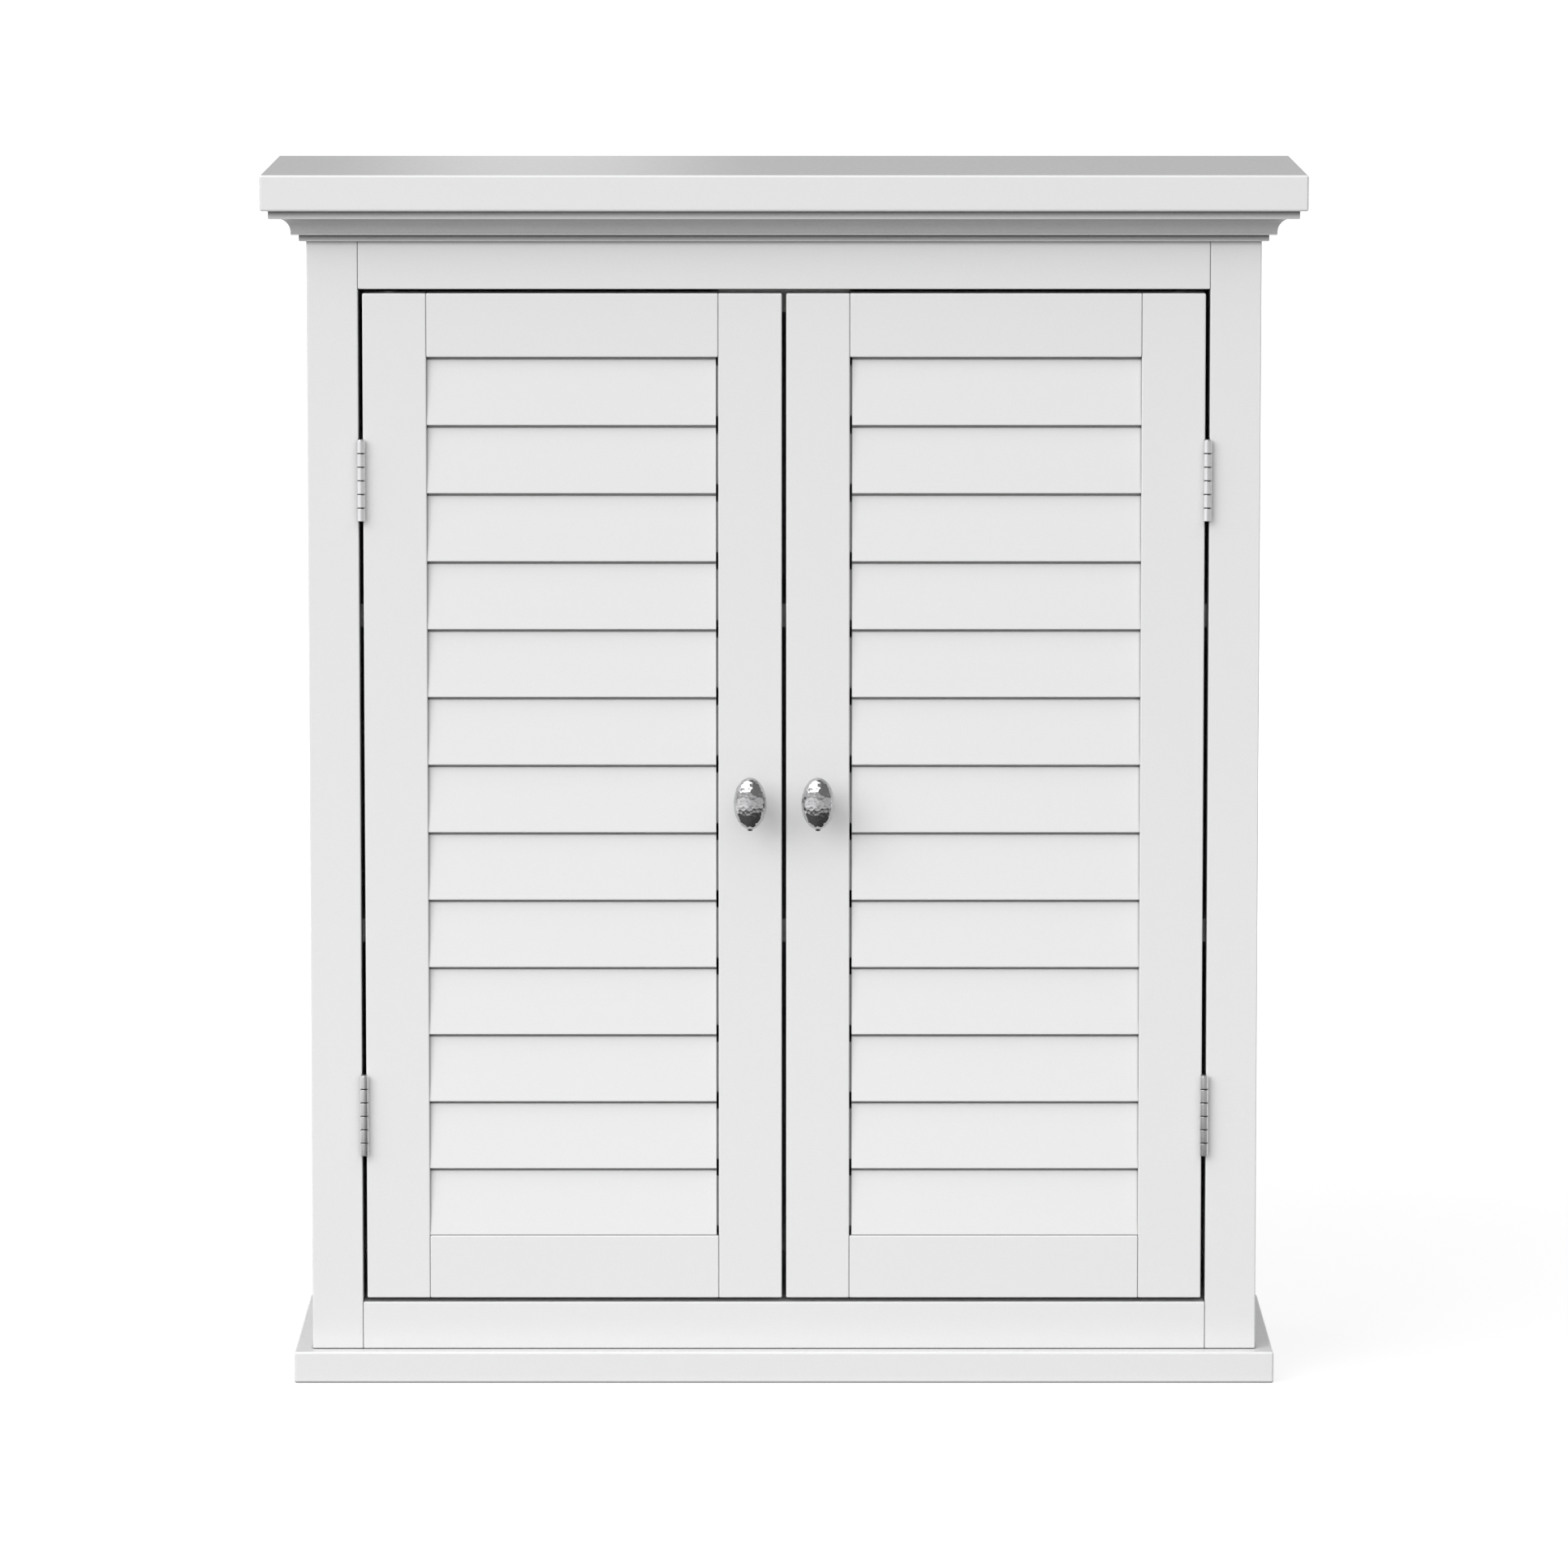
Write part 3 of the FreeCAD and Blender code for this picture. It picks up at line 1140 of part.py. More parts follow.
def shelf_pegs():
    """Eight pegs: a plug in the side panel, a collar against it and a tab under the shelf."""
    peg = new_body("shelf_peg")
    plug = draw_circles(peg, "plug", "YZ_Plane", [("0", "0")], "Sizes.peg_radius")
    pad(peg, plug, "Sizes.peg_length", backwards=True)
    collar = draw_circles(peg, "collar", "YZ_Plane", [("0", "0")], "Sizes.peg_collar_radius")
    pad(peg, collar, "Sizes.peg_collar_thickness")
    low = ("-Sizes.peg_tab_width / 2", "Sizes.peg_seat_rise - Sizes.peg_tab_thickness")
    high = ("Sizes.peg_tab_width / 2", "Sizes.peg_seat_rise")
    tab = draw_rectangle(peg, "tab", "YZ_Plane", low, high, "Sizes.peg_collar_thickness")
    pad(peg, tab, "Sizes.peg_tab_length")
    spots = []
    for side in HANDS.values():
        turn = NO_TURN if side < 0 else HALF_TURN
        for row in ("Sizes.lower_shelf_row", "Sizes.upper_shelf_row"):
            for back in ("Places.peg_front_y", "Places.peg_back_y"):
                spots.append((f"{side} * Places.inner_half", back, peg_height(row), turn))
    copies("shelf_pegs", peg, spots)


def dowels():
    """The dowels of the face frame, and those of the floor panel and hanging rail."""
    profile = rod_profile("Sizes.dowel_radius", "Sizes.dowel_length", "Sizes.dowel_chamfer")
    dowel = turned("dowel", profile)
    in_frame = []
    in_panels = []
    for side in HANDS.values():
        outwards = FreeCAD.Rotation(Y_AXIS, 90 * side)
        start = f"{side} * (Places.opening_half - Sizes.dowel_length / 2)"
        mid = "Places.face_y + Sizes.face_thickness / 2"
        in_frame += [(start, mid, up, outwards) for up in face_dowel_heights()]
        start = f"{side} * (Places.inner_half + Sizes.dowel_in_side - Sizes.dowel_length)"
        in_panels += [(start, back, up, outwards) for back, up in panel_dowel_spots()]
    copies("face_frame_dowels", dowel, in_frame)
    copies("panel_dowels", dowel, in_panels)


def cam_fittings():
    """Cams let into the side panels, and the bolts they draw down from the top board."""
    cam = new_body("cam")
    disc = draw_circles(cam, "disc", "YZ_Plane", [("0", "0")], "Sizes.cam_radius")
    pad(cam, disc, "Sizes.cam_depth", backwards=True)
    centre = ("-Sizes.side_thickness / 2", "0")
    radius = "Sizes.bolt_shank_radius + Sizes.fit_clearance"
    low_end = "-(Sizes.bolt_head_below_cam_centre + Sizes.fit_clearance)"
    bore = draw_circles(cam, "bolt_way", "XY_Plane", [centre], radius, low_end)
    depth = "Sizes.bolt_head_below_cam_centre + Sizes.cam_radius + Sizes.cut_margin"
    cut(cam, bore, depth, backwards=True)
    long_half = "Sizes.cam_slot_length / 2"
    slim_half = "Sizes.cam_slot_width / 2"
    for name, wide, tall in (("slot", long_half, slim_half), ("cross_slot", slim_half, long_half)):
        sketch = draw_rectangle(cam, name, "YZ_Plane", (f"-{wide}", f"-{tall}"), (wide, tall))
        cut(cam, sketch, "Sizes.cam_slot_depth")

    head_foot = "-Sizes.cam_drop - Sizes.bolt_head_below_cam_centre"
    head_top = "-Sizes.cam_drop + Sizes.bolt_head_above_cam_centre"
    neck_top = f"{head_top} + Sizes.bolt_neck_length"
    profile = (
        ("0", head_foot),
        ("Sizes.bolt_head_radius", head_foot),
        ("Sizes.bolt_head_radius", head_top),
        ("Sizes.bolt_neck_radius", head_top),
        ("Sizes.bolt_neck_radius", neck_top),
        ("Sizes.bolt_shank_radius", neck_top),
        ("Sizes.bolt_shank_radius", "0"),
        ("Sizes.bolt_thread_radius", "0"),
        ("Sizes.bolt_thread_radius", "Sizes.bolt_thread_length"),
        ("0", "Sizes.bolt_thread_length"),
    )
    bolt = turned("cam_bolt", profile)
    cams = []
    bolts = []
    for side, back in cam_spots():
        turn = NO_TURN if side < 0 else HALF_TURN
        cams.append((f"{side} * Places.inner_half", back, "Places.body_top_z - Sizes.cam_drop", turn))
        bolts.append((f"{side} * Places.side_mid_x", back, "Places.body_top_z", NO_TURN))
    copies("cam_locks", cam, cams)
    copies("cam_bolts", bolt, bolts)


def base_screws():
    profile = screw_profile(BASE_SCREW, "Sizes.base_screw_length")
    master = turned("base_screw", profile)
    spots = [(across, back, "0", NO_TURN) for across, back in base_screw_spots()]
    copies("base_screws", master, spots)


def back_nails():
    profile = (
        ("0", "0"),
        ("Sizes.nail_head_radius", "0"),
        ("Sizes.nail_head_radius", "Sizes.nail_head_thickness"),
        ("Sizes.nail_radius", "Sizes.nail_head_thickness"),
        ("Sizes.nail_radius", "Sizes.nail_length - 2 * Sizes.nail_radius"),
        ("0", "Sizes.nail_length"),
    )
    nail = turned("back_nail", profile)
    forwards = FreeCAD.Rotation(X_AXIS, 90)
    spots = []
    for side in HANDS.values():
        for row in range(int(value("Sizes.nail_rows"))):
            up = f"Sizes.base_thickness + Sizes.nail_inset + {row} * Places.nail_pitch"
            spots.append((f"{side} * Places.nail_x", "Places.back_y", up, forwards))
    copies("back_nails", nail, spots)


# ---------------------------------------------------------------- the whole cabinet


def build_cabinet():
    base_board()
    top_board()
    floor_panel()
    back_panel()
    hanging_rail()
    shelf("lower_shelf", "Sizes.lower_shelf_row")
    shelf("upper_shelf", "Sizes.upper_shelf_row")
    face_rails()
    front_cornice()
    slat = louvre_slat()
    for hand, side in HANDS.items():
        side_panel(hand, side)
        face_stile(hand, side)
        side_cornice(hand, side)
        hinge_stile(hand, side)
        meeting_stile(hand, side)
        door_rails(hand, side)
        door_slats(hand, side, slat)
        knob_body(hand, side)
        knob_rosette(hand, side)
        knob_screw(hand, side)
        strike_plate(hand, side)
    hinges()
    small_screws()
    catch()
    shelf_pegs()
    dowels()
    cam_fittings()
    base_screws()
    back_nails()


def check_document():
    """Stops if any object failed, any cut removed nothing or any piece has no sound solid."""
    for item in doc.Objects:
        if "Invalid" in item.State or "Error" in item.State:
            raise RuntimeError(f"{item.Name} failed: {item.State}")
        if item.TypeId in ("PartDesign::Pocket", "PartDesign::Hole"):
            if item.Shape.Volume >= item.BaseFeature.Shape.Volume:
                raise RuntimeError(f"{item.Name} removes nothing")
    for item in nodes:
        if item.Shape.isNull() or not item.Shape.isValid() or not item.Shape.Solids:
            raise RuntimeError(f"{item.Label} has no sound solid")


def write_parts():
    os.makedirs("parts", exist_ok=True)
    for item in nodes:
        item.Shape.exportStep(f"parts/{item.Label}.step")


sizes = make_sizes()
make_places()
build_cabinet()
doc.recompute()
check_document()
write_parts()
print(f"{len(nodes)} pieces written")
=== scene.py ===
"""Finishes, hardware, louvres, light and camera of the louvred door cabinet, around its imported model."""

import json
import math

import bpy
from mathutils import Matrix, Vector

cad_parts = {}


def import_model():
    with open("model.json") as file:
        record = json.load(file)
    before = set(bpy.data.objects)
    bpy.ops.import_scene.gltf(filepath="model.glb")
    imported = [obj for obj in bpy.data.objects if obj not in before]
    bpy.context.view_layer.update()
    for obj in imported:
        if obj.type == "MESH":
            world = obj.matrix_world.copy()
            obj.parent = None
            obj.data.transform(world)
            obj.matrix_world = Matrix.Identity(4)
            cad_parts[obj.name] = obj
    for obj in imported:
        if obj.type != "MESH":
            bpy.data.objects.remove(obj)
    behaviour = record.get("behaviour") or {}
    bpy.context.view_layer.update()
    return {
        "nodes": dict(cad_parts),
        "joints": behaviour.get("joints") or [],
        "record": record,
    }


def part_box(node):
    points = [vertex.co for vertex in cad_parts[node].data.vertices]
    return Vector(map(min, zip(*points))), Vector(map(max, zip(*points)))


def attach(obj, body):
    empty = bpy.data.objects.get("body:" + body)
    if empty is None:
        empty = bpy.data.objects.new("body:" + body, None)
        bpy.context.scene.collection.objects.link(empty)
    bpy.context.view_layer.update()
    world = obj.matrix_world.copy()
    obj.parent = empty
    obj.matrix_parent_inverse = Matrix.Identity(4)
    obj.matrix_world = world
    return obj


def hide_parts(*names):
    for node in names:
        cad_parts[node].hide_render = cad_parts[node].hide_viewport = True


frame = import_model()
nodes = frame["nodes"]

MM = 0.001
HANDS = {"left": -1, "right": 1}
LEVELS = ("upper", "lower")

# camera
CAMERA_DISTANCE = 4.6
CAMERA_HEIGHT = 0.870
CAMERA_PITCH = 7.02
FOCAL_LENGTH_IN_PIXELS = 11385
PICTURE_SIDE = 1932
SENSOR_WIDTH = 36
VIEW_REACH = 50

# louvres
SLAT_COUNT = 13
SLAT_DEPTH = 6.0 * MM
SLAT_LEAN = 3.3 * MM
SLAT_LIP_SETBACK = 0.6 * MM
SLAT_GAP = 1.4 * MM
SLAT_OVERLAP = 4.0 * MM
SLAT_CLEARANCE = 0.3 * MM
SLAT_HINGE_END_GAP = 0.05 * MM
SLAT_MEETING_END_GAP = 1.2 * MM
SLAT_LIP_ROUND = 0.6 * MM
SLAT_TENON_LENGTH = 5.5 * MM
SLAT_TENON_INSET = 3.0 * MM
SLAT_TENON_THICKNESS = 1.5 * MM
SLAT_TENON_SHOULDER = 4.5 * MM

# hinges
BARREL_RADIUS = 2.25 * MM
KNUCKLE_COUNT = 6
KNUCKLE_GAP = 0.5 * MM
KNUCKLE_ROUND = 0.2 * MM
PIN_RADIUS = 1.05 * MM
PIN_BORE_RADIUS = 1.1 * MM
PIN_ROUND = 0.35 * MM
LEAF_THICKNESS = 1.0 * MM
LEAF_CLEARANCE = 0.2 * MM
LEAF_ROOT = 2.6 * MM
LEAF_REACH = 16.5 * MM
LEAF_CORNER_RADIUS = 1.5 * MM
LEAF_SCREW_SPREAD = 24.0 * MM

# screws and nails; spins are in radians
SMALL_SHANK_RADIUS = 1.25 * MM
SMALL_HEAD_RADIUS = 2.25 * MM
SMALL_SCREW_LENGTH = 12.0 * MM
SCREW_TIP_LENGTH = 3.0 * MM
SCREW_TIP_SHARE = 0.08
SCREW_RIM = 0.12 * MM
BASE_HEAD_RADIUS = 4.0 * MM
BASE_SHANK_RADIUS = 2.0 * MM
BASE_SCREW_PLACES = ((230.5, -25.5), (230.5, 52.5), (112.5, -64.5))
NAIL_HEAD_RADIUS = 1.7 * MM
NAIL_HEAD_DEPTH = 0.8 * MM
NAIL_SHANK_RADIUS = 0.7 * MM
NAIL_POINT_LENGTH = 2.0 * MM
NAIL_POINT_SHARE = 0.1
NAIL_HEAD_DOME = 0.6
NAIL_HEIGHTS = (44, 174, 304, 434, 564)
KNOB_SCREW_HEAD_RADIUS = 4.0 * MM
KNOB_SCREW_HEAD_DEPTH = 2.4 * MM
KNOB_SCREW_SHANK_RADIUS = 2.0 * MM
KNOB_SCREW_END_ROUND = 0.5 * MM
PAN_HEAD_DOME = 0.55
PAN_SHANK_ROOT = 0.3
PAN_DRIVE_REACH = 0.55
PAN_DRIVE_DEPTH = 0.55
DRIVE_WIDTH = 0.55 * MM
DRIVE_DEPTH = 0.7 * MM
DRIVE_REACH = 0.62
DRIVE_TAPER = (0.35, 0.6, 1)
HINGE_SCREW_SPIN = 0.3
DOOR_SCREW_SPINS = {"left": 0.1, "right": 0.9}
BASE_SCREW_SPIN_PER_MM = 0.02

# knobs
KNOB_FRONT = 0.75
KNOB_NUB_RADIUS = 1.6 * MM
KNOB_NUB_HEIGHT = 0.5 * MM
KNOB_NUB_ROOT = 0.7 * MM
KNOB_NUB_TAPER = 0.8
KNOB_NUB_ROUND = 0.2 * MM
# painted dark reflection on the knob's nub: its darkest share and how far it fades
KNOB_NUB_PAINTED_DARK = 0.35
KNOB_NUB_PAINTED_DARK_FADE = 0.4 * MM
KNOB_FOOT_RADIUS = 4.6 * MM
KNOB_BORE_RADIUS = 2.05 * MM
KNOB_BORE_DEPTH = 10.0 * MM
NECK_ROOT = 0.8 * MM
NECK_STEPS = ((1.2 * MM, 0.86), (1.6 * MM, 0.88), (2.4 * MM, 0.95))
NECK_END_SHARE = 0.97
HAMMER_MARK_SIZE = 1.7 * MM
HAMMER_MARK_DEPTH = 0.2 * MM
ROSETTE_ROUND = 0.8 * MM
ROSETTE_BORE_DEPTH = 5.0 * MM

# painted shade in joints and hollows: how far round a spot counts, and how dark the painted shade gets from
# shut in to clear
BOARD_CREASE = 1.6 * MM
LOUVRE_CREASE = 1.2 * MM
STILE_CREASE = 0.9 * MM
CREASE_PAINTED_SHADE = {"darkest": 0.4, "shut": 0.45, "clear": 0.95}
MOULDING_HOLLOW = 30 * MM
MOULDING_PAINTED_SHADE = {"darkest": 0.1, "shut": 0.58, "clear": 1.0}
LEDGE_HOLLOW = 20 * MM
LEDGE_PAINTED_SHADE = {"darkest": 0.86, "shut": 0.45, "clear": 0.85}
NICKEL_CREASE = 1.2 * MM
NICKEL_PAINTED_SHADE = {"darkest": 0.12, "shut": 0.4, "clear": 0.9}

# studio floor, in display levels, light and metres
FLOOR_LEVEL = 150
FLOOR_GLOW = (0.76, 1.0)
FLOOR_FADE = (0.5, 1.7)
FLOOR_SIZE = 40

# studio light: headings are an azimuth and an elevation in degrees
LIT_MIDDLE = Vector((0, 0, 0.3))
AMBIENT = 0.05
GLOW_HEADING = (-18, 40)
GLOW_STRENGTH = 1.345
KEY_HEADING = (-38, 25)
KEY_SIZE = (6, 6)
KEY_POWER = 300
KEY_DISTANCE = 9.0
BACK_LAMPS = ((-135, 22), (145, 30))
BACK_SIZE = (2.6, 0.5)
BACK_DISTANCE = 2.6
BOUNCE_PLACE = (0, -0.5, 0.03)
BOUNCE_SIZE = (1.2, 0.05)
BOUNCE_POWER = 0.32

# what polished metal sees: a pair holds two ends, and each SEEN is a strength from 0 dark to 1 white
DARK_FLOOR_LOW = (-6, -6, 0.003)
DARK_FLOOR_HIGH = (6, -0.084, 0.004)
FLOOR_SEEN = ((0.0, 0.07), (0.6, 0.1), (0.76, 0.2), (0.95, 0.45), (1.6, 0.8), (4.0, 1.0))
FLOOR_SIDES = (1.35, 0.75)
FLOOR_SIDES_TURN = (-0.6, 0.6)
DOME_CENTRE = (0, -0.09, 0.3)
DOME_RADIUS = 3
DOME_FOOT = 0.02
SOFTBOX_AZIMUTH = -58
SOFTBOX_SIDES = (0.3, 0.48)
SOFTBOX_RISE = (0.36, 0.48)
SOFTBOX_SEEN = 2.4
ROOM_DARK = 0.24
ROOM_GREY = 0.6
ROOM_SIDES = (0.2, 0.7)
HORIZON_SEEN = (0.6, 1.0)
HORIZON_SIDES = (0.3, 0.95)
HORIZON_RISE = (0.08, 0.2)
BACK_SEEN = 0.36
BACK_TURN = (-0.1, 0.2)
BACK_GLEAM = 0.9
BACK_GLEAM_PLACE = (-0.2, 2.87, 0.78)
BACK_GLEAM_REACH = (0.05, 0.2)


# ---------------------------------------------------------------- working the mesh by hand

QUARTER_TURN = math.pi / 2
TURN_TO = {"X": (0, QUARTER_TURN, 0), "Y": (-QUARTER_TURN, 0, 0), "Z": (0, 0, 0)}
ALONG = {"X": Vector((1, 0, 0)), "Y": Vector((0, 1, 0)), "Z": Vector((0, 0, 1))}
SELECT_MODES = {"POINT": (True, False, False), "EDGE": (False, True, False), "FACE": (False, False, True)}
NEAR = 0.01 * MM
FACING = 0.9
SPARE = 1.0 * MM


def nothing_selected():
    if bpy.context.mode != "OBJECT":
        bpy.ops.object.mode_set(mode="OBJECT")
    bpy.ops.object.select_all(action="DESELECT")


def take(piece):
    """Leaves only this piece selected, and active."""
    nothing_selected()
    piece.select_set(True)
    bpy.context.view_layer.objects.active = piece
    return piece


def settle(piece):
    """Puts the piece's place, turn and size into its mesh."""
    take(piece)
    bpy.ops.object.transform_apply(location=True, rotation=True, scale=True)
    return piece


def named(name):
    piece = bpy.context.object
    piece.name = piece.data.name = name
    return piece


def block(name, low, high):
    """A squared blank between two corners."""
    nothing_selected()
    low, high = Vector(low), Vector(high)
    bpy.ops.mesh.primitive_cube_add(size=1, location=(low + high) / 2)
    piece = named(name)
    piece.scale = high - low
    return settle(piece)


def round_bar(name, foot, length, radius, along="Z", sides=64):
    """A round blank of a length from its foot."""
    nothing_selected()
    middle = Vector(foot) + ALONG[along] * length / 2
    bpy.ops.mesh.primitive_cylinder_add(
        vertices=sides, radius=radius, depth=abs(length), location=middle, rotation=TURN_TO[along]
    )
    return settle(named(name))


def choose(piece, kind, test):
    """Opens the piece for editing with the points, edges or faces that pass the test selected."""
    take(piece)
    bpy.context.tool_settings.mesh_select_mode = SELECT_MODES[kind]
    mesh = piece.data
    for group in (mesh.vertices, mesh.edges, mesh.polygons):
        group.foreach_set("select", [False] * len(group))
    if kind == "POINT":
        for point in mesh.vertices:
            point.select = test(point.co)
    elif kind == "EDGE":
        for edge in mesh.edges:
            start, end = (mesh.vertices[index].co for index in edge.vertices)
            edge.select = test(start, end)
    else:
        for face in mesh.polygons:
            face.select = test(face.center, face.normal)
    bpy.ops.object.mode_set(mode="EDIT")


def close_edit():
    bpy.ops.object.mode_set(mode="OBJECT")


def round_edges(piece, test, width, segments=3):
    choose(piece, "EDGE", test)
    bpy.ops.mesh.bevel(offset=width, segments=segments, profile=0.5, affect="EDGES", clamp_overlap=True)
    close_edit()


def slide(piece, test, move):
    """Moves the points that pass the test."""
    choose(piece, "POINT", test)
    bpy.ops.transform.translate(value=move)
    close_edit()


def draw_out(piece, test, move, grow=1.0, across=(True, True, True)):
    """Extrudes the faces that pass the test, and widens or narrows their far end."""
    choose(piece, "FACE", test)
    bpy.ops.mesh.extrude_region_move(TRANSFORM_OT_translate={"value": move})
    if grow != 1.0:
        chosen = [face.center for face in selected_faces(piece)]
        centre = sum(chosen, Vector()) / len(chosen)
        sizes = [grow if wanted else 1.0 for wanted in across]
        bpy.ops.transform.resize(value=sizes, center_override=centre)
    close_edit()


def selected_faces(piece):
    bpy.ops.object.mode_set(mode="OBJECT")
    chosen = [face for face in piece.data.polygons if face.select]
    bpy.ops.object.mode_set(mode="EDIT")
    return chosen


def fit(piece, other, how="DIFFERENCE"):
    """Cuts the other piece from this one or joins it on, and does away with it."""
    take(piece)
    step = piece.modifiers.new(how.lower(), "BOOLEAN")
    step.object = other
    step.operation = how
    step.solver = "EXACT"
    bpy.ops.object.modifier_apply(modifier=step.name)
    bpy.data.objects.remove(other, do_unlink=True)
    return piece


def smooth(piece, angle=35):
    """Shades rounded edges softly and keeps broad faces flat."""
    take(piece)
    bpy.ops.object.shade_smooth_by_angle(angle=math.radians(angle))
    step = piece.modifiers.new("even_shading", "WEIGHTED_NORMAL")
    step.keep_sharp = True
    bpy.ops.object.modifier_apply(modifier=step.name)
    return piece


def copy_of(piece, name, change):
    """A copy with its own mesh, put in its place by a matrix."""
    twin = piece.copy()
    twin.data = piece.data.copy()
    twin.name = twin.data.name = name
    bpy.context.scene.collection.objects.link(twin)
    twin.data.transform(change)
    if change.determinant() < 0:
        choose(twin, "FACE", lambda centre, normal: True)
        bpy.ops.mesh.normals_make_consistent(inside=False)
        close_edit()
    return twin


def joined(name, pieces):
    """Several pieces made one."""
    nothing_selected()
    for piece in pieces:
        piece.select_set(True)
    bpy.context.view_layer.objects.active = pieces[0]
    bpy.ops.object.join()
    return named(name)


def discard(piece):
    bpy.data.objects.remove(piece, do_unlink=True)


def moved(*place):
    return Matrix.Translation(Vector(place))


MIRRORED = Matrix.Scale(-1, 4, (1, 0, 0))


def stand_for(piece, node, body, material):
    """Hands a finished piece its place in the model and its finish."""
    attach(piece, body)
    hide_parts(node)
    piece.data.materials.clear()
    piece.data.materials.append(material)


# ---------------------------------------------------------------- finishes


def grey(level):
    """A display level from 0 to 255 as a linear colour."""
    share = level / 255
    linear = share / 12.92 if share <= 0.04045 else ((share + 0.055) / 1.055) ** 2.4
    return (linear, linear, linear, 1.0)


class NodeKit:
    """A node tree with its output, a coordinate to work from, and short ways to add to it."""

    def __init__(self, tree, output, spot):
        self.tree = tree
        self.tree.nodes.clear()
        self.output = self.node(output)
        self.spot = self.node("ShaderNodeTexCoord").outputs[spot]

    def node(self, kind, **settings):
        made = self.tree.nodes.new(kind)
        for name, setting in settings.items():
            setattr(made, name, setting)
        return made

    def link(self, source, target):
        self.tree.links.new(source, target)

    def spread(self, factor, first, second, low=0.3, high=0.7, soft=False):
        """Turns a value between low and high into one between a first and a second."""
        span = self.node("ShaderNodeMapRange", interpolation_type="SMOOTHSTEP" if soft else "LINEAR")
        for name, value in (("From Min", low), ("From Max", high), ("To Min", first), ("To Max", second)):
            if hasattr(value, "is_output"):
                self.link(value, span.inputs[name])
            else:
                span.inputs[name].default_value = value
        self.link(factor, span.inputs["Value"])
        return span.outputs["Result"]

    def combined(self, first, second, how="ADD"):
        """Two values added, or put together by another sum; the second may be a plain number."""
        result = self.node("ShaderNodeMath", operation=how)
        self.link(first, result.inputs[0])
        if hasattr(second, "is_output"):
            self.link(second, result.inputs[1])
        else:
            result.inputs[1].default_value = second
        return result.outputs[0]


class Recipe(NodeKit):
    """A material on the piece's own coordinates."""

    def __init__(self, name):
        self.material = bpy.data.materials.new(name)
        self.material.use_nodes = True
        super().__init__(self.material.node_tree, "ShaderNodeOutputMaterial", "Object")


class Finish(Recipe):
    """A material put together from grain, tint, sheen and relief."""

    def __init__(self, name, metallic=0.0, level=0.5):
        super().__init__(name)
        self.surface = self.node("ShaderNodeBsdfPrincipled")
        self.surface.inputs["Metallic"].default_value = metallic
        self.surface.inputs["Specular IOR Level"].default_value = level
        self.link(self.surface.outputs["BSDF"], self.output.inputs["Surface"])
        self.normal = None

    def grain(self, per_metre, detail=2.0, roughness=0.5, stretch=(1, 1, 1)):
        """Noise of so many lumps per metre, drawn out by a stretch along each axis."""
        noise = self.node("ShaderNodeTexNoise")
        noise.inputs["Scale"].default_value = per_metre
        noise.inputs["Detail"].default_value = detail
        noise.inputs["Roughness"].default_value = roughness
        mapping = self.node("ShaderNodeMapping")
        mapping.inputs["Scale"].default_value = [1 / share for share in stretch]
        self.link(self.spot, mapping.inputs["Vector"])
        self.link(mapping.outputs["Vector"], noise.inputs["Vector"])
        return noise.outputs["Fac"]

    def cells(self, per_metre):
        """Rounded pits, so many per metre."""
        pits = self.node("ShaderNodeTexVoronoi", feature="SMOOTH_F1")
        pits.inputs["Scale"].default_value = per_metre
        self.link(self.spot, pits.inputs["Vector"])
        return pits.outputs["Distance"]

    def tint(self, factor, first, second, low=0.3, high=0.7):
        """Colours the surface between two colours."""
        ramp = self.node("ShaderNodeValToRGB")
        ramp.color_ramp.elements[0].position = low
        ramp.color_ramp.elements[0].color = first
        ramp.color_ramp.elements[1].position = high
        ramp.color_ramp.elements[1].color = second
        self.link(factor, ramp.inputs["Fac"])
        self.link(ramp.outputs["Color"], self.surface.inputs["Base Color"])
        return ramp.outputs["Color"]

    def sheen(self, factor, smoothest, roughest, low=0.3, high=0.7):
        self.link(self.spread(factor, smoothest, roughest, low, high), self.surface.inputs["Roughness"])

    def paint_shade_in_hollows(self, reach, darkest, shut, clear):
        """Paints shade into the colour in joints and hollows that are closed in within a reach."""
        openness = self.node("ShaderNodeAmbientOcclusion", samples=6)
        openness.inputs["Distance"].default_value = reach
        self.painted_darkening(self.spread(openness.outputs["AO"], darkest, 1.0, shut, clear))

    def paint_dark_below(self, height, depth, darkest):
        """Darkens the colour below a height, as a painted dark reflection."""
        parts = self.node("ShaderNodeSeparateXYZ")
        self.link(self.spot, parts.inputs[0])
        self.painted_darkening(self.spread(parts.outputs["Z"], darkest, 1.0, height - depth, height))

    def painted_darkening(self, share):
        """Multiplies the colour by a share, to paint in shade and dark reflections."""
        toned = self.node("ShaderNodeVectorMath", operation="SCALE")
        self.link(self.surface.inputs["Base Color"].links[0].from_socket, toned.inputs[0])
        self.link(share, toned.inputs["Scale"])
        self.link(toned.outputs[0], self.surface.inputs["Base Color"])

    def relief(self, height, depth, strength=1.0):
        """Raises the surface by a depth in metres where the grain is high."""
        bump = self.node("ShaderNodeBump")
        bump.inputs["Distance"].default_value = depth
        bump.inputs["Strength"].default_value = strength
        self.link(height, bump.inputs["Height"])
        if self.normal is not None:
            self.link(self.normal, bump.inputs["Normal"])
        self.normal = bump.outputs["Normal"]
        self.link(self.normal, self.surface.inputs["Normal"])


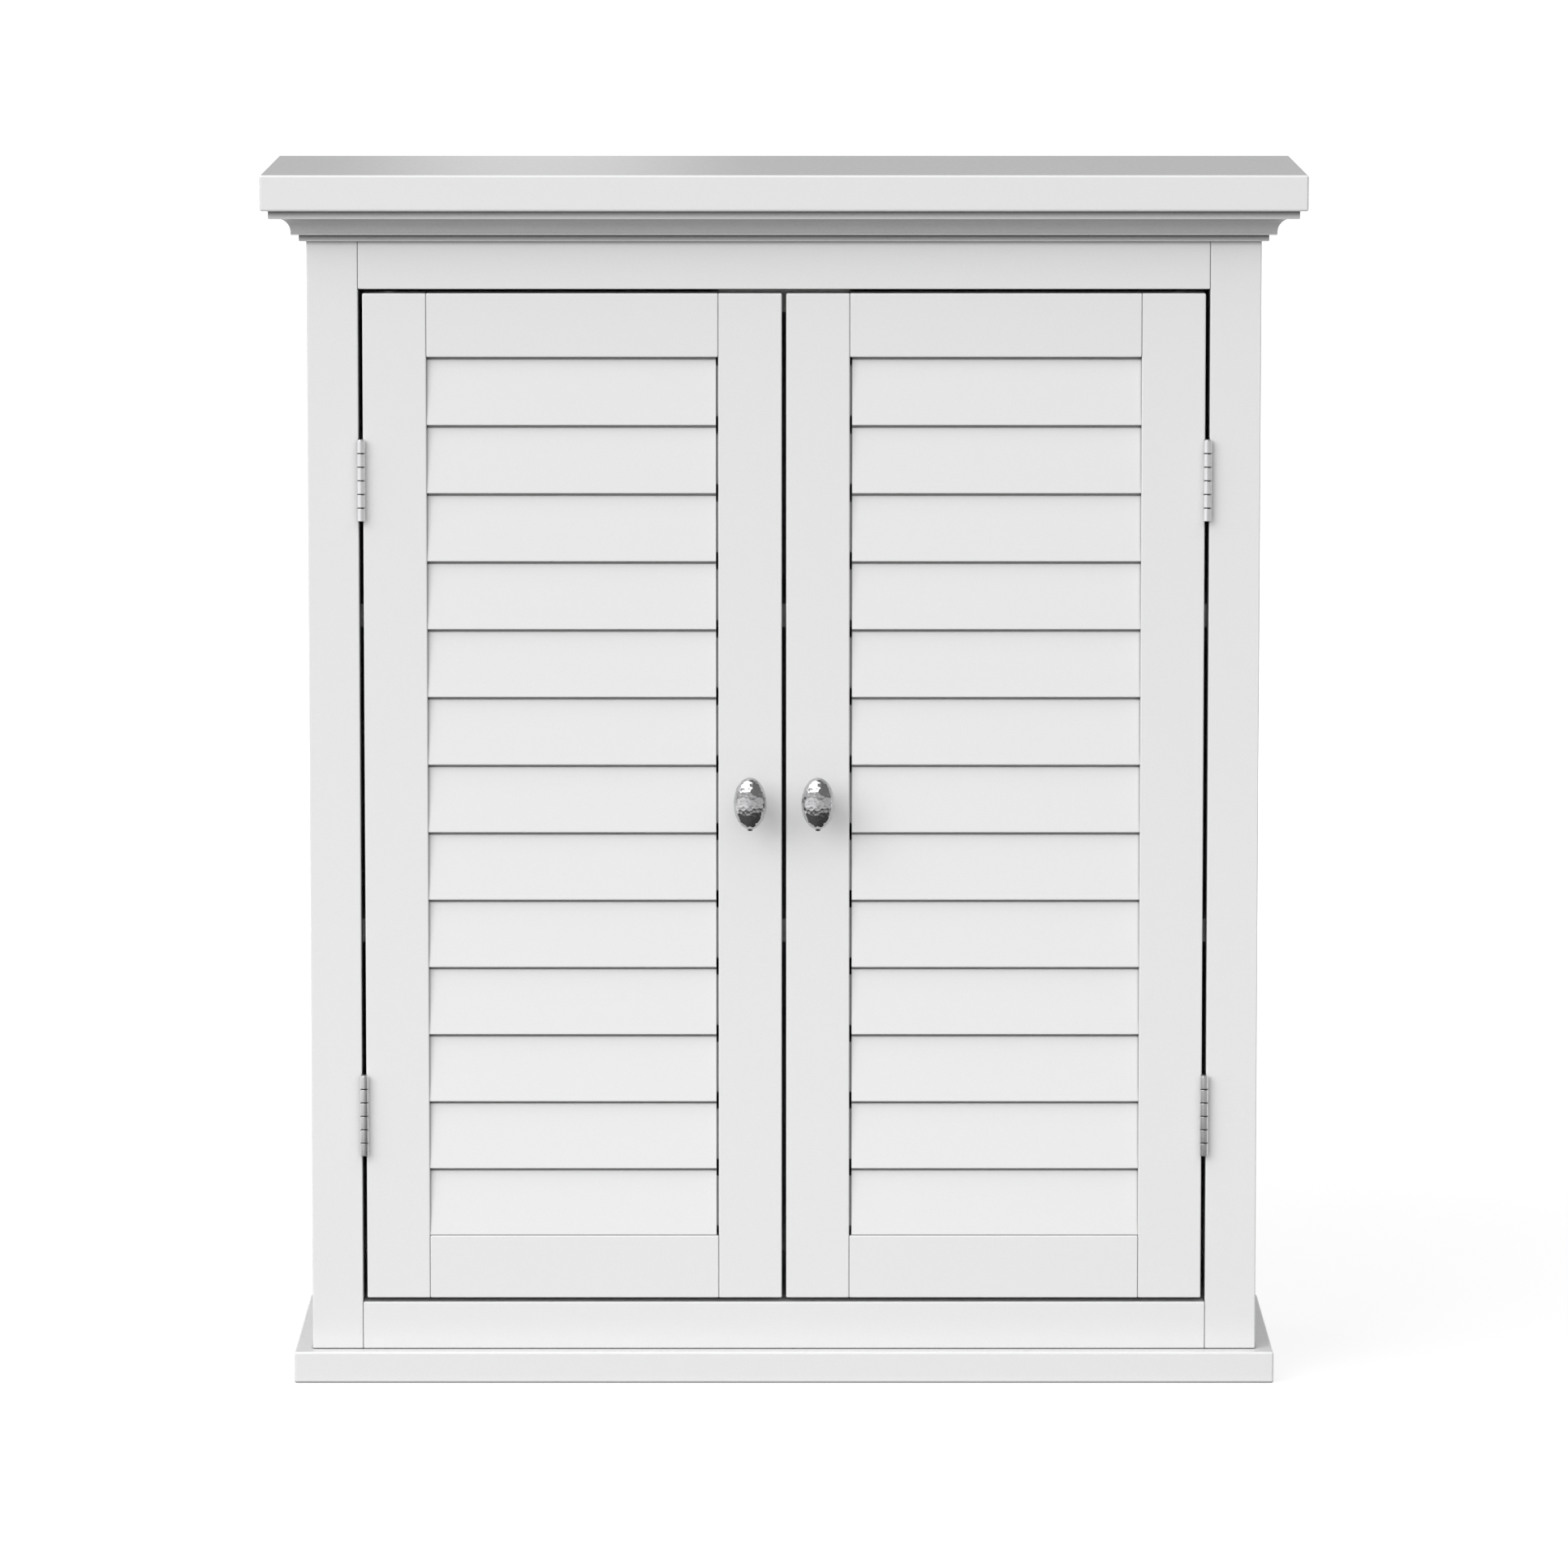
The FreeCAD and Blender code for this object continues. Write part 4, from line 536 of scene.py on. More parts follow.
def satin_white_lacquer(name, reach, painted_darkening=CREASE_PAINTED_SHADE, ledges=False):
    """The cabinet's paint, with painted shade in hollows within a reach, and a little painted shade beside
    ledges.
    """
    finish = Finish(name, level=0.4)
    speckle = finish.grain(1500, detail=3, roughness=0.7)
    finish.tint(speckle, grey(231), grey(234), low=0.35, high=0.65)
    finish.paint_shade_in_hollows(reach, **painted_darkening)
    if ledges:
        finish.paint_shade_in_hollows(LEDGE_HOLLOW, **LEDGE_PAINTED_SHADE)
    finish.sheen(finish.grain(420, detail=3), 0.22, 0.26)
    finish.relief(finish.grain(330, detail=1), 0.0025 * MM)
    finish.relief(speckle, 0.002 * MM)
    return finish.material


def painted_hardboard():
    finish = Finish("white_painted_hardboard", level=0.35)
    fibres = finish.grain(500, detail=6, roughness=0.7, stretch=(3, 3, 1))
    finish.tint(fibres, grey(222), grey(231))
    finish.sheen(finish.grain(90, detail=3), 0.5, 0.65)
    finish.relief(fibres, 0.05 * MM)
    return finish.material


def satin_nickel():
    finish = Finish("satin_nickel", metallic=1.0)
    drawn = finish.grain(2600, detail=2, stretch=(1, 1, 30))
    finish.tint(drawn, (0.72, 0.72, 0.73, 1), (0.79, 0.79, 0.8, 1))
    # painted shade in the knuckle gaps and other joints of the hinges
    finish.paint_shade_in_hollows(NICKEL_CREASE, **NICKEL_PAINTED_SHADE)
    finish.sheen(finish.grain(350, detail=3), 0.17, 0.22)
    finish.relief(drawn, 0.0006 * MM)
    return finish.material


def screw_nickel():
    finish = Finish("nickel_plated_screw", metallic=1.0)
    plating = finish.grain(700, detail=3)
    finish.tint(plating, (0.6, 0.59, 0.57, 1), (0.68, 0.67, 0.65, 1))
    finish.sheen(finish.grain(1500), 0.22, 0.36)
    return finish.material


def hammered_chrome():
    finish = Finish("hammered_chrome", metallic=1.0)
    finish.tint(finish.grain(300), (0.54, 0.54, 0.55, 1), (0.58, 0.58, 0.59, 1))
    nub_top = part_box("left_knob")[0].z + KNOB_NUB_HEIGHT
    # painted dark reflection on the nub: the colour darkens below the nub's top
    finish.paint_dark_below(nub_top + KNOB_NUB_PAINTED_DARK_FADE, KNOB_NUB_PAINTED_DARK_FADE, KNOB_NUB_PAINTED_DARK)
    finish.sheen(finish.grain(900, detail=3), 0.04, 0.09)
    finish.relief(finish.grain(1500, detail=2), 0.018 * MM)
    return finish.material


def zinc_plated_steel():
    finish = Finish("zinc_plated_steel", metallic=1.0)
    plating = finish.grain(500, detail=4)
    finish.tint(plating, (0.56, 0.58, 0.61, 1), (0.66, 0.67, 0.69, 1))
    finish.sheen(finish.grain(900, detail=3), 0.28, 0.42)
    return finish.material


def satin_plated_steel():
    finish = Finish("satin_plated_steel", metallic=1.0)
    brushed = finish.grain(1800, detail=3, stretch=(25, 1, 1))
    finish.tint(brushed, (0.6, 0.6, 0.6, 1), (0.69, 0.69, 0.69, 1))
    finish.sheen(brushed, 0.26, 0.36)
    finish.relief(brushed, 0.004 * MM)
    return finish.material


def cast_zinc():
    finish = Finish("cast_zinc", metallic=1.0)
    skin = finish.grain(1400, detail=4, roughness=0.7)
    finish.tint(skin, (0.46, 0.46, 0.47, 1), (0.58, 0.58, 0.59, 1))
    finish.sheen(skin, 0.4, 0.55)
    finish.relief(skin, 0.03 * MM)
    return finish.material


def moulded_white_plastic():
    finish = Finish("moulded_white_plastic", level=0.5)
    spark = finish.grain(2500, detail=2)
    finish.tint(finish.grain(40), (0.8, 0.8, 0.78, 1), (0.83, 0.83, 0.81, 1))
    finish.sheen(spark, 0.38, 0.5)
    finish.relief(spark, 0.012 * MM)
    return finish.material


def sintered_magnet():
    finish = Finish("sintered_magnet", level=0.4)
    powder = finish.grain(3000, detail=4, roughness=0.7)
    finish.tint(powder, grey(48), grey(66))
    finish.sheen(powder, 0.5, 0.7)
    finish.relief(powder, 0.02 * MM)
    return finish.material


def bare_beech():
    finish = Finish("bare_beech", level=0.3)
    grain = finish.grain(700, detail=5, roughness=0.65, stretch=(6, 1, 1))
    finish.tint(grain, (0.5, 0.32, 0.17, 1), (0.66, 0.46, 0.27, 1))
    finish.sheen(grain, 0.6, 0.75)
    finish.relief(grain, 0.04 * MM)
    return finish.material


def coat(names, material):
    """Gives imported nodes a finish."""
    for name in names:
        for slot in nodes[name].material_slots:
            slot.material = material


finishes = {
    # the lacquer on the boards, with painted shade in creases
    "white_paint": satin_white_lacquer("satin_white_lacquer", BOARD_CREASE),
    "hinge_nickel": satin_nickel(),
    "screw_nickel": screw_nickel(),
    "knob_chrome": hammered_chrome(),
    "zinc_steel": zinc_plated_steel(),
    "plated_steel": satin_plated_steel(),
    "cast_zinc": cast_zinc(),
    "catch_plastic": moulded_white_plastic(),
    "magnet": sintered_magnet(),
    "beech": bare_beech(),
}
for row in frame["record"]["subparts"]:
    coat([row["node"]], finishes[row["material_slot"]])
coat(["back_panel"], painted_hardboard())
# the cornice mouldings: the same lacquer with deep painted shade in the cove under the top board
moulding_lacquer_painted_shade = satin_white_lacquer("moulding_lacquer_painted_shade", MOULDING_HOLLOW, MOULDING_PAINTED_SHADE)
coat(["front_cornice", "left_cornice", "right_cornice"], moulding_lacquer_painted_shade)
# hinge stiles: the same lacquer with a narrower reach of painted shade, so less shade beside the hinge
# barrels
stile_lacquer_painted_shade = satin_white_lacquer("stile_lacquer_painted_shade", STILE_CREASE)
coat([f"{hand}_door_hinge_stile" for hand in HANDS], stile_lacquer_painted_shade)
# face frame: narrow painted shade in creases, and wider painted shade beside ledges
face_frame_lacquer_painted_shade = satin_white_lacquer("face_frame_lacquer_painted_shade", STILE_CREASE, ledges=True)
coat(["left_face_stile", "right_face_stile", "bottom_face_rail"], face_frame_lacquer_painted_shade)
# slats: the same lacquer with painted shade in the gaps between slats and at their ends
louvre_lacquer_painted_shade = satin_white_lacquer("louvre_lacquer_painted_shade", LOUVRE_CREASE)


# ---------------------------------------------------------------- louvres


def louvre_slat(width):
    """One slat from X 0, its lower edge at Z 0 and the door's face at Y 0."""
    slope = SLAT_LEAN / pitch
    shoulder = pitch - SLAT_GAP
    head = pitch + SLAT_OVERLAP
    behind = SLAT_DEPTH + SLAT_CLEARANCE - SLAT_LEAN
    slat = block("louvre_slat", (0, 0, 0), (width, SLAT_DEPTH, shoulder))
    choose(slat, "FACE", lambda centre, normal: True)
    bpy.ops.mesh.bisect(plane_co=(0, behind, 0), plane_no=(0, 1, 0))
    close_edit()
    draw_out(slat, lambda centre, normal: normal.z > FACING and centre.y > behind, (0, 0, head - shoulder))
    for level in (0, shoulder, head):
        lean = SLAT_LIP_SETBACK + level * slope
        slide(slat, lambda spot: abs(spot.z - level) < NEAR, (0, lean, 0))

    def front_edge(start, end):
        along_slat = abs(start.x - end.x) > NEAR
        ahead = max(start.y, end.y) < SLAT_LIP_SETBACK + SLAT_LEAN + NEAR
        return along_slat and ahead and (max(start.z, end.z) < NEAR or abs(start.z - shoulder) < NEAR)

    round_edges(slat, front_edge, SLAT_LIP_ROUND, segments=4)
    front = SLAT_LIP_SETBACK + SLAT_TENON_INSET
    tenon = block(
        "slat_tenon",
        (-SLAT_TENON_LENGTH, front, SLAT_TENON_SHOULDER),
        (width + SLAT_TENON_LENGTH, front + SLAT_TENON_THICKNESS, pitch - SLAT_TENON_SHOULDER),
    )
    for level in (SLAT_TENON_SHOULDER, pitch - SLAT_TENON_SHOULDER):
        slide(tenon, lambda spot: abs(spot.z - level) < NEAR, (0, level * slope, 0))
    return fit(slat, tenon, "UNION")


def louvres(hand, side, slat):
    """A door's slats, close to the hinge stile and with a fine gap at the meeting stile."""
    hinge_x = side * (abs(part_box(f"{hand}_door_hinge_stile")[0 if side > 0 else 1].x) - SLAT_HINGE_END_GAP)
    copies = []
    for index in range(SLAT_COUNT):
        place = moved(hinge_x, face_y, louvre_low_z + index * pitch)
        turn = MIRRORED if side > 0 else Matrix.Identity(4)
        copies.append(copy_of(slat, f"slat_{index}", place @ turn))
    piece = smooth(joined(f"{hand}_louvres", copies))
    stand_for(piece, f"{hand}_door_slats", f"{hand}_door", louvre_lacquer_painted_shade)


face_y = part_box("left_face_stile")[0].y
louvre_low_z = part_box("left_door_bottom_rail")[1].z
louvre_high_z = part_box("left_door_top_rail")[0].z
pitch = (louvre_high_z - louvre_low_z) / SLAT_COUNT
panel_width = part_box("left_door_meeting_stile")[0].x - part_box("left_door_hinge_stile")[1].x
slat = louvre_slat(panel_width - SLAT_HINGE_END_GAP - SLAT_MEETING_END_GAP)
for hand, side in HANDS.items():
    louvres(hand, side, slat)
discard(slat)


# ---------------------------------------------------------------- hinges


def hinge_leaf():
    """The left frame leaf: its plate left of the axis at X 0 Y 0, its foot at Z 0."""
    outer = -LEAF_CLEARANCE / 2 - LEAF_THICKNESS
    inner = -LEAF_CLEARANCE / 2
    leaf = block("hinge_leaf", (outer, LEAF_ROOT, 0), (inner, LEAF_REACH, hinge_height))
    round_edges(
        leaf,
        lambda start, end: abs(start.x - end.x) > NEAR and start.y > LEAF_REACH - NEAR,
        LEAF_CORNER_RADIUS,
        segments=8,
    )
    knuckle_pitch = hinge_height / KNUCKLE_COUNT
    for index in range(0, KNUCKLE_COUNT, 2):
        foot = index * knuckle_pitch + KNUCKLE_GAP / 2
        length = knuckle_pitch - KNUCKLE_GAP
        knuckle = round_bar("knuckle", (0, 0, foot), length, BARREL_RADIUS, sides=72)
        round_edges(knuckle, lambda start, end: abs(start.z - end.z) < NEAR, KNUCKLE_ROUND)
        tab = block("knuckle_tab", (outer, PIN_RADIUS, foot), (inner, LEAF_ROOT + NEAR, foot + length))
        fit(leaf, fit(knuckle, tab, "UNION"), "UNION")
    fit(leaf, round_bar("pin_bore", (0, 0, -SPARE), hinge_height + 2 * SPARE, PIN_BORE_RADIUS, sides=48))
    reach = (LEAF_ROOT + LEAF_REACH) / 2
    for sign in (-1, 1):
        middle = (inner, reach, hinge_height / 2 + sign * LEAF_SCREW_SPREAD / 2)
        hole = round_bar("screw_hole", middle, -2 * LEAF_THICKNESS, SMALL_SHANK_RADIUS, "X", sides=48)
        countersink = round_bar("countersink", middle, -LEAF_THICKNESS, SMALL_HEAD_RADIUS, "X", sides=48)
        choose(countersink, "FACE", lambda centre, normal: normal.x < -FACING)
        narrow = SMALL_SHANK_RADIUS / SMALL_HEAD_RADIUS
        bpy.ops.transform.resize(value=(1, narrow, narrow), center_override=(outer, middle[1], middle[2]))
        close_edit()
        fit(leaf, hole)
        fit(leaf, countersink)
    return leaf


def hinge_pin():
    pin = round_bar("hinge_pin", (0, 0, 0), hinge_height, PIN_RADIUS, sides=40)
    round_edges(pin, lambda start, end: abs(start.z - end.z) < NEAR, PIN_ROUND, segments=4)
    return pin


def hinge_axis(hand, level):
    joint = next(row for row in frame["joints"] if row["name"] == f"{hand}_door_hinge")
    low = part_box(f"{hand}_{level}_frame_leaf")[0]
    return Vector((joint["pos_m"][0], joint["pos_m"][1], low.z))


def hinges():
    leaf, pin = hinge_leaf(), hinge_pin()
    end_for_end = moved(0, 0, hinge_height) @ Matrix.Rotation(math.pi, 4, "Y")
    pins = []
    for hand, side in HANDS.items():
        hand_turn = MIRRORED if side > 0 else Matrix.Identity(4)
        for level in LEVELS:
            place = moved(*hinge_axis(hand, level))
            name = f"{hand}_{level}_frame_leaf"
            piece = smooth(copy_of(leaf, f"{name}_nickel", place @ hand_turn))
            stand_for(piece, name, "cabinet", finishes["hinge_nickel"])
            name = f"{hand}_{level}_door_leaf"
            piece = smooth(copy_of(leaf, f"{name}_nickel", place @ hand_turn @ end_for_end))
            stand_for(piece, name, f"{hand}_door", finishes["hinge_nickel"])
            pins.append(copy_of(pin, "pin", place))
    piece = smooth(joined("hinge_pins_nickel", pins))
    stand_for(piece, "hinge_pins", "cabinet", finishes["hinge_nickel"])
    discard(leaf)
    discard(pin)


leaf_low, leaf_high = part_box("left_upper_frame_leaf")
hinge_height = leaf_high.z - leaf_low.z
hinges()


# ---------------------------------------------------------------- screws


def cross_recess(screw, reach, face_z=0.0, deep=DRIVE_DEPTH):
    """Sinks a tapering cross into a head whose face looks down from a height."""
    for turn in (0, QUARTER_TURN):
        slot = block(
            "drive_slot",
            (-reach, -DRIVE_WIDTH / 2, face_z - deep),
            (reach, DRIVE_WIDTH / 2, face_z + deep),
        )
        choose(slot, "FACE", lambda centre, normal: normal.z > FACING)
        bpy.ops.transform.resize(value=DRIVE_TAPER, center_override=(0, 0, face_z + deep))
        close_edit()
        slot.data.transform(Matrix.Rotation(turn, 4, "Z"))
        fit(screw, slot)


def wood_screw(name, length, head_radius=SMALL_HEAD_RADIUS, shank_radius=SMALL_SHANK_RADIUS):
    """A countersunk cross-head screw, its head flat at Z 0 and its point up."""
    head_depth = head_radius - shank_radius
    straight = length - SCREW_TIP_LENGTH - head_depth
    screw = round_bar(name, (0, 0, head_depth), straight, shank_radius, sides=32)
    tip = (0, 0, SCREW_TIP_LENGTH)
    draw_out(screw, lambda c, n: n.z > FACING, tip, SCREW_TIP_SHARE, (1, 1, 0))
    down = (0, 0, SCREW_RIM - head_depth)
    draw_out(screw, lambda c, n: n.z < -FACING, down, head_radius / shank_radius, (1, 1, 0))
    draw_out(screw, lambda c, n: n.z < -FACING, (0, 0, -SCREW_RIM))
    cross_recess(screw, head_radius * DRIVE_REACH, deep=DRIVE_DEPTH * head_radius / SMALL_HEAD_RADIUS)
    return screw


def pan_head_screw(name, grip):
    """A machine screw with a domed cross head under Z 0 and its shank above."""
    down = -KNOB_SCREW_HEAD_DEPTH
    screw = round_bar(name, (0, 0, 0), down, KNOB_SCREW_HEAD_RADIUS, sides=72)
    dome = KNOB_SCREW_HEAD_DEPTH * PAN_HEAD_DOME
    round_edges(screw, lambda start, end: max(start.z, end.z) < down + NEAR, dome, segments=6)
    deep = KNOB_SCREW_HEAD_DEPTH * PAN_DRIVE_DEPTH
    cross_recess(screw, KNOB_SCREW_HEAD_RADIUS * PAN_DRIVE_REACH, down, deep)
    root = down * PAN_SHANK_ROOT
    shank = round_bar("shank", (0, 0, root), grip - root, KNOB_SCREW_SHANK_RADIUS, sides=48)
    round_edges(
        shank, lambda start, end: min(start.z, end.z) > grip - NEAR, KNOB_SCREW_END_ROUND, segments=2
    )
    return fit(screw, shank, "UNION")


def panel_nail(name, length):
    """A nail with a low domed head at Z 0 and its point up."""
    nail = round_bar(name, (0, 0, 0), NAIL_HEAD_DEPTH, NAIL_HEAD_RADIUS, sides=32)
    dome = NAIL_HEAD_DEPTH * NAIL_HEAD_DOME
    round_edges(nail, lambda start, end: max(start.z, end.z) < NEAR, dome, segments=4)
    root = NAIL_HEAD_DEPTH / 2
    straight = length - NAIL_POINT_LENGTH - root
    shank = round_bar("shank", (0, 0, root), straight, NAIL_SHANK_RADIUS, sides=24)
    point = (0, 0, NAIL_POINT_LENGTH)
    draw_out(shank, lambda c, n: n.z > FACING, point, NAIL_POINT_SHARE, (1, 1, 0))
    return fit(nail, shank, "UNION")


def screws(name, master, places, node, body, slot):
    copies = [copy_of(master, "screw", place) for place in places]
    piece = smooth(joined(name, copies))
    stand_for(piece, node, body, finishes[slot])


def leaf_screw_places(hand, inner_x, turn):
    """Where the screws of a hand's two leaves go, facing along X."""
    places = []
    for level in LEVELS:
        axis = hinge_axis(hand, level)
        for sign in (-1, 1):
            up = hinge_height / 2 + sign * LEAF_SCREW_SPREAD / 2
            spot = moved(inner_x, axis.y + (LEAF_ROOT + LEAF_REACH) / 2, axis.z + up)
            spin = Matrix.Rotation(HINGE_SCREW_SPIN * (up + sign), 4, "Z")
            places.append(spot @ Matrix.Rotation(turn, 4, "Y") @ spin)
    return places


def hinge_screws():
    master = wood_screw("small_screw", SMALL_SCREW_LENGTH)
    in_frame = []
    for hand, side in HANDS.items():
        node = f"{hand}_door_hinge_screws"
        low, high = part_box(node)
        face_x = high.x if side > 0 else low.x
        into_door = leaf_screw_places(hand, face_x, -side * QUARTER_TURN)
        screws(f"{node}_nickel", master, into_door, node, f"{hand}_door", "screw_nickel")
        frame_x = side * (abs(face_x) + LEAF_CLEARANCE)
        in_frame += leaf_screw_places(hand, frame_x, side * QUARTER_TURN)
    screws("frame_hinge_screws_nickel", master, in_frame, "frame_hinge_screws", "cabinet", "screw_nickel")
    discard(master)


def middle_of(node):
    low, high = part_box(node)
    return (low + high) / 2


def door_back_screws():
    """The knob and strike plate screws, driven forwards from behind each door."""
    forwards = Matrix.Rotation(QUARTER_TURN, 4, "X")
    low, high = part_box("left_knob_screw")
    pan = pan_head_screw("pan_head", high.y - low.y - KNOB_SCREW_HEAD_DEPTH)
    small = wood_screw("strike_master", SMALL_SCREW_LENGTH)
    for hand in HANDS:
        node = f"{hand}_knob_screw"
        low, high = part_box(node)
        middle = middle_of(node)
        place = moved(middle.x, high.y - KNOB_SCREW_HEAD_DEPTH, middle.z) @ forwards
        spin = Matrix.Rotation(DOOR_SCREW_SPINS[hand], 4, "Z")
        screws(f"{node}_zinc", pan, [place @ spin], node, f"{hand}_door", "zinc_steel")
        node = f"{hand}_strike_screw"
        middle = middle_of(node)
        place = moved(middle.x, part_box(node)[1].y, middle.z) @ forwards
        screws(f"{node}_zinc", small, [place @ spin], node, f"{hand}_door", "zinc_steel")
    discard(pan)
    discard(small)


def cabinet_screws():
    """The magnetic catch's two screws, and those that hold the base board from below."""
    low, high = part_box("catch_screws")
    master = wood_screw("catch_master", high.z - low.z)
    reach = high.x - SMALL_HEAD_RADIUS
    places = [moved(side * reach, (low.y + high.y) / 2, low.z) for side in HANDS.values()]
    screws("catch_screws_zinc", master, places, "catch_screws", "cabinet", "zinc_steel")
    discard(master)
    low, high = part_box("base_screws")
    master = wood_screw("base_master", high.z - low.z, BASE_HEAD_RADIUS, BASE_SHANK_RADIUS)
    places = []
    for x, y in BASE_SCREW_PLACES:
        for side in HANDS.values():
            spin = Matrix.Rotation(BASE_SCREW_SPIN_PER_MM * x + side, 4, "Z")
            places.append(moved(side * x * MM, y * MM, low.z) @ spin)
    screws("base_screws_zinc", master, places, "base_screws", "cabinet", "zinc_steel")
    discard(master)


def back_nails():
    low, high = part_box("back_nails")
    master = panel_nail("nail_master", high.y - low.y)
    forwards = Matrix.Rotation(QUARTER_TURN, 4, "X")
    reach = high.x - NAIL_HEAD_RADIUS
    places = [
        moved(side * reach, high.y, height * MM) @ forwards
        for side in HANDS.values()
        for height in NAIL_HEIGHTS
    ]
    screws("back_nails_zinc", master, places, "back_nails", "cabinet", "zinc_steel")
    discard(master)


hinge_screws()
door_back_screws()
cabinet_screws()
back_nails()


# ---------------------------------------------------------------- knobs


def egg(width, height):
    """The knob's hammered egg, centred at the origin and flatter in front, with the nub under it."""
    nothing_selected()
    bpy.ops.mesh.primitive_uv_sphere_add(segments=256, ring_count=160, radius=1)
    piece = named("egg")
    piece.scale = (width / 2, width / 2, height / 2)
    settle(piece)
    choose(piece, "POINT", lambda spot: spot.y < -NEAR)
    bpy.ops.transform.resize(value=(1, KNOB_FRONT, 1), center_override=(0, 0, 0))
    close_edit()
    marks = bpy.data.textures.new("hammer_marks", "VORONOI")
    marks.distance_metric = "DISTANCE_SQUARED"
    marks.noise_scale = HAMMER_MARK_SIZE
    step = piece.modifiers.new("hammering", "DISPLACE")
    step.texture = marks
    step.texture_coords = "LOCAL"
    step.strength = HAMMER_MARK_DEPTH
    step.mid_level = 1.0
    take(piece)
    bpy.ops.object.modifier_apply(modifier=step.name)
    foot = -height / 2 - KNOB_NUB_HEIGHT
    nub = round_bar("nub", (0, 0, foot), KNOB_NUB_HEIGHT + KNOB_NUB_ROOT, KNOB_NUB_RADIUS, sides=48)
    choose(nub, "FACE", lambda centre, normal: normal.z < -FACING)
    bpy.ops.transform.resize(value=(KNOB_NUB_TAPER, KNOB_NUB_TAPER, 1), center_override=(0, 0, foot))
    close_edit()
    round_edges(nub, lambda start, end: max(start.z, end.z) < foot + NEAR, KNOB_NUB_ROUND)
    return fit(piece, nub, "UNION")


def neck(length):
    """The waisted neck, from the rosette at Y 0 forwards into the egg."""
    piece = round_bar("neck", (0, -NECK_ROOT, 0), NECK_ROOT, KNOB_FOOT_RADIUS, "Y", sides=72)
    into_egg = length - NECK_ROOT - sum(forwards for forwards, narrow in NECK_STEPS)
    for forwards, narrow in (*NECK_STEPS, (into_egg, NECK_END_SHARE)):
        draw_out(piece, lambda c, n: n.y < -FACING, (0, -forwards, 0), narrow, (1, 0, 1))
    return piece


def knobs():
    low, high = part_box("left_knob")
    width = high.x - low.x
    height = high.z - low.z - KNOB_NUB_HEIGHT
    forwards = KNOB_FRONT * width / 2
    standoff = high.y - low.y - forwards
    knob = egg(width, height)
    stem = neck(standoff)
    stem.data.transform(moved(0, standoff, 0))
    fit(knob, stem, "UNION")
    behind = (0, standoff + SPARE, 0)
    fit(knob, round_bar("bore", behind, -KNOB_BORE_DEPTH, KNOB_BORE_RADIUS, "Y", sides=48))
    for hand in HANDS:
        low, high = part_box(f"{hand}_knob")
        place = moved((low.x + high.x) / 2, low.y + forwards, high.z - height / 2)
        piece = smooth(copy_of(knob, f"{hand}_knob_chrome", place), angle=60)
        stand_for(piece, f"{hand}_knob", f"{hand}_door", finishes["knob_chrome"])
    discard(knob)


def rosettes():
    for hand in HANDS:
        node = f"{hand}_knob_rosette"
        low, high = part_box(node)
        radius = (high.x - low.x) / 2
        middle = middle_of(node)
        seat = (middle.x, high.y, middle.z)
        piece = round_bar(f"{node}_chrome", seat, low.y - high.y, radius, "Y", sides=128)
        round_edges(piece, lambda s, e: max(s.y, e.y) < low.y + NEAR, ROSETTE_ROUND, segments=5)
        behind = (middle.x, high.y + SPARE, middle.z)
        fit(piece, round_bar("bore", behind, -ROSETTE_BORE_DEPTH, KNOB_BORE_RADIUS, "Y", sides=48))
        smooth(piece)
        stand_for(piece, node, f"{hand}_door", finishes["knob_chrome"])


knobs()
rosettes()


# ---------------------------------------------------------------- stage


def seen_by_eye_or_metal(recipe):
    """1 for camera, glossy and transmission rays, and 0 for the light that falls on surfaces."""
    path = recipe.node("ShaderNodeLightPath").outputs
    seen = recipe.combined(path["Is Camera Ray"], path["Is Glossy Ray"], "MAXIMUM")
    return recipe.combined(seen, path["Is Transmission Ray"], "MAXIMUM")


def floor():
    """A pale floor that takes the shadow and runs out into the white backdrop."""
    nothing_selected()
    bpy.ops.mesh.primitive_plane_add(size=FLOOR_SIZE, location=(0, 0, 0))
    piece = named("studio_floor")
    recipe = Recipe("studio_floor_white")
    matte = recipe.node("ShaderNodeBsdfDiffuse")
    matte.inputs["Color"].default_value = grey(FLOOR_LEVEL)
    away = recipe.node("ShaderNodeVectorMath", operation="LENGTH")
    recipe.link(recipe.spot, away.inputs[0])
    rise = recipe.spread(away.outputs["Value"], *FLOOR_GLOW, *FLOOR_FADE, soft=True)
    glow = recipe.node("ShaderNodeEmission")
    recipe.link(recipe.combined(seen_by_eye_or_metal(recipe), rise, "MULTIPLY"), glow.inputs["Strength"])
    total = recipe.node("ShaderNodeAddShader")
    recipe.link(matte.outputs[0], total.inputs[0])
    recipe.link(glow.outputs[0], total.inputs[1])
    recipe.link(total.outputs[0], recipe.output.inputs["Surface"])
    piece.data.materials.append(recipe.material)


def world():
    """A white backdrop for the eye and for metal, and a soft glow from the front and above for surfaces."""
    setting = bpy.data.worlds.new("studio")
    bpy.context.scene.world = setting
    setting.use_nodes = True
    recipe = NodeKit(setting.node_tree, "ShaderNodeOutputWorld", "Generated")
    background = recipe.node("ShaderNodeBackground")
    background.inputs["Color"].default_value = (1, 1, 1, 1)
    facing = recipe.node("ShaderNodeVectorMath", operation="DOT_PRODUCT")
    facing.inputs[1].default_value = direction(*GLOW_HEADING)
    recipe.link(recipe.spot, facing.inputs[0])
    glow = recipe.spread(facing.outputs["Value"], AMBIENT, AMBIENT + GLOW_STRENGTH, 0, 1)
    strength = recipe.spread(seen_by_eye_or_metal(recipe), glow, 1, 0, 1)
    recipe.link(strength, background.inputs["Strength"])
    recipe.link(background.outputs[0], recipe.output.inputs["Surface"])


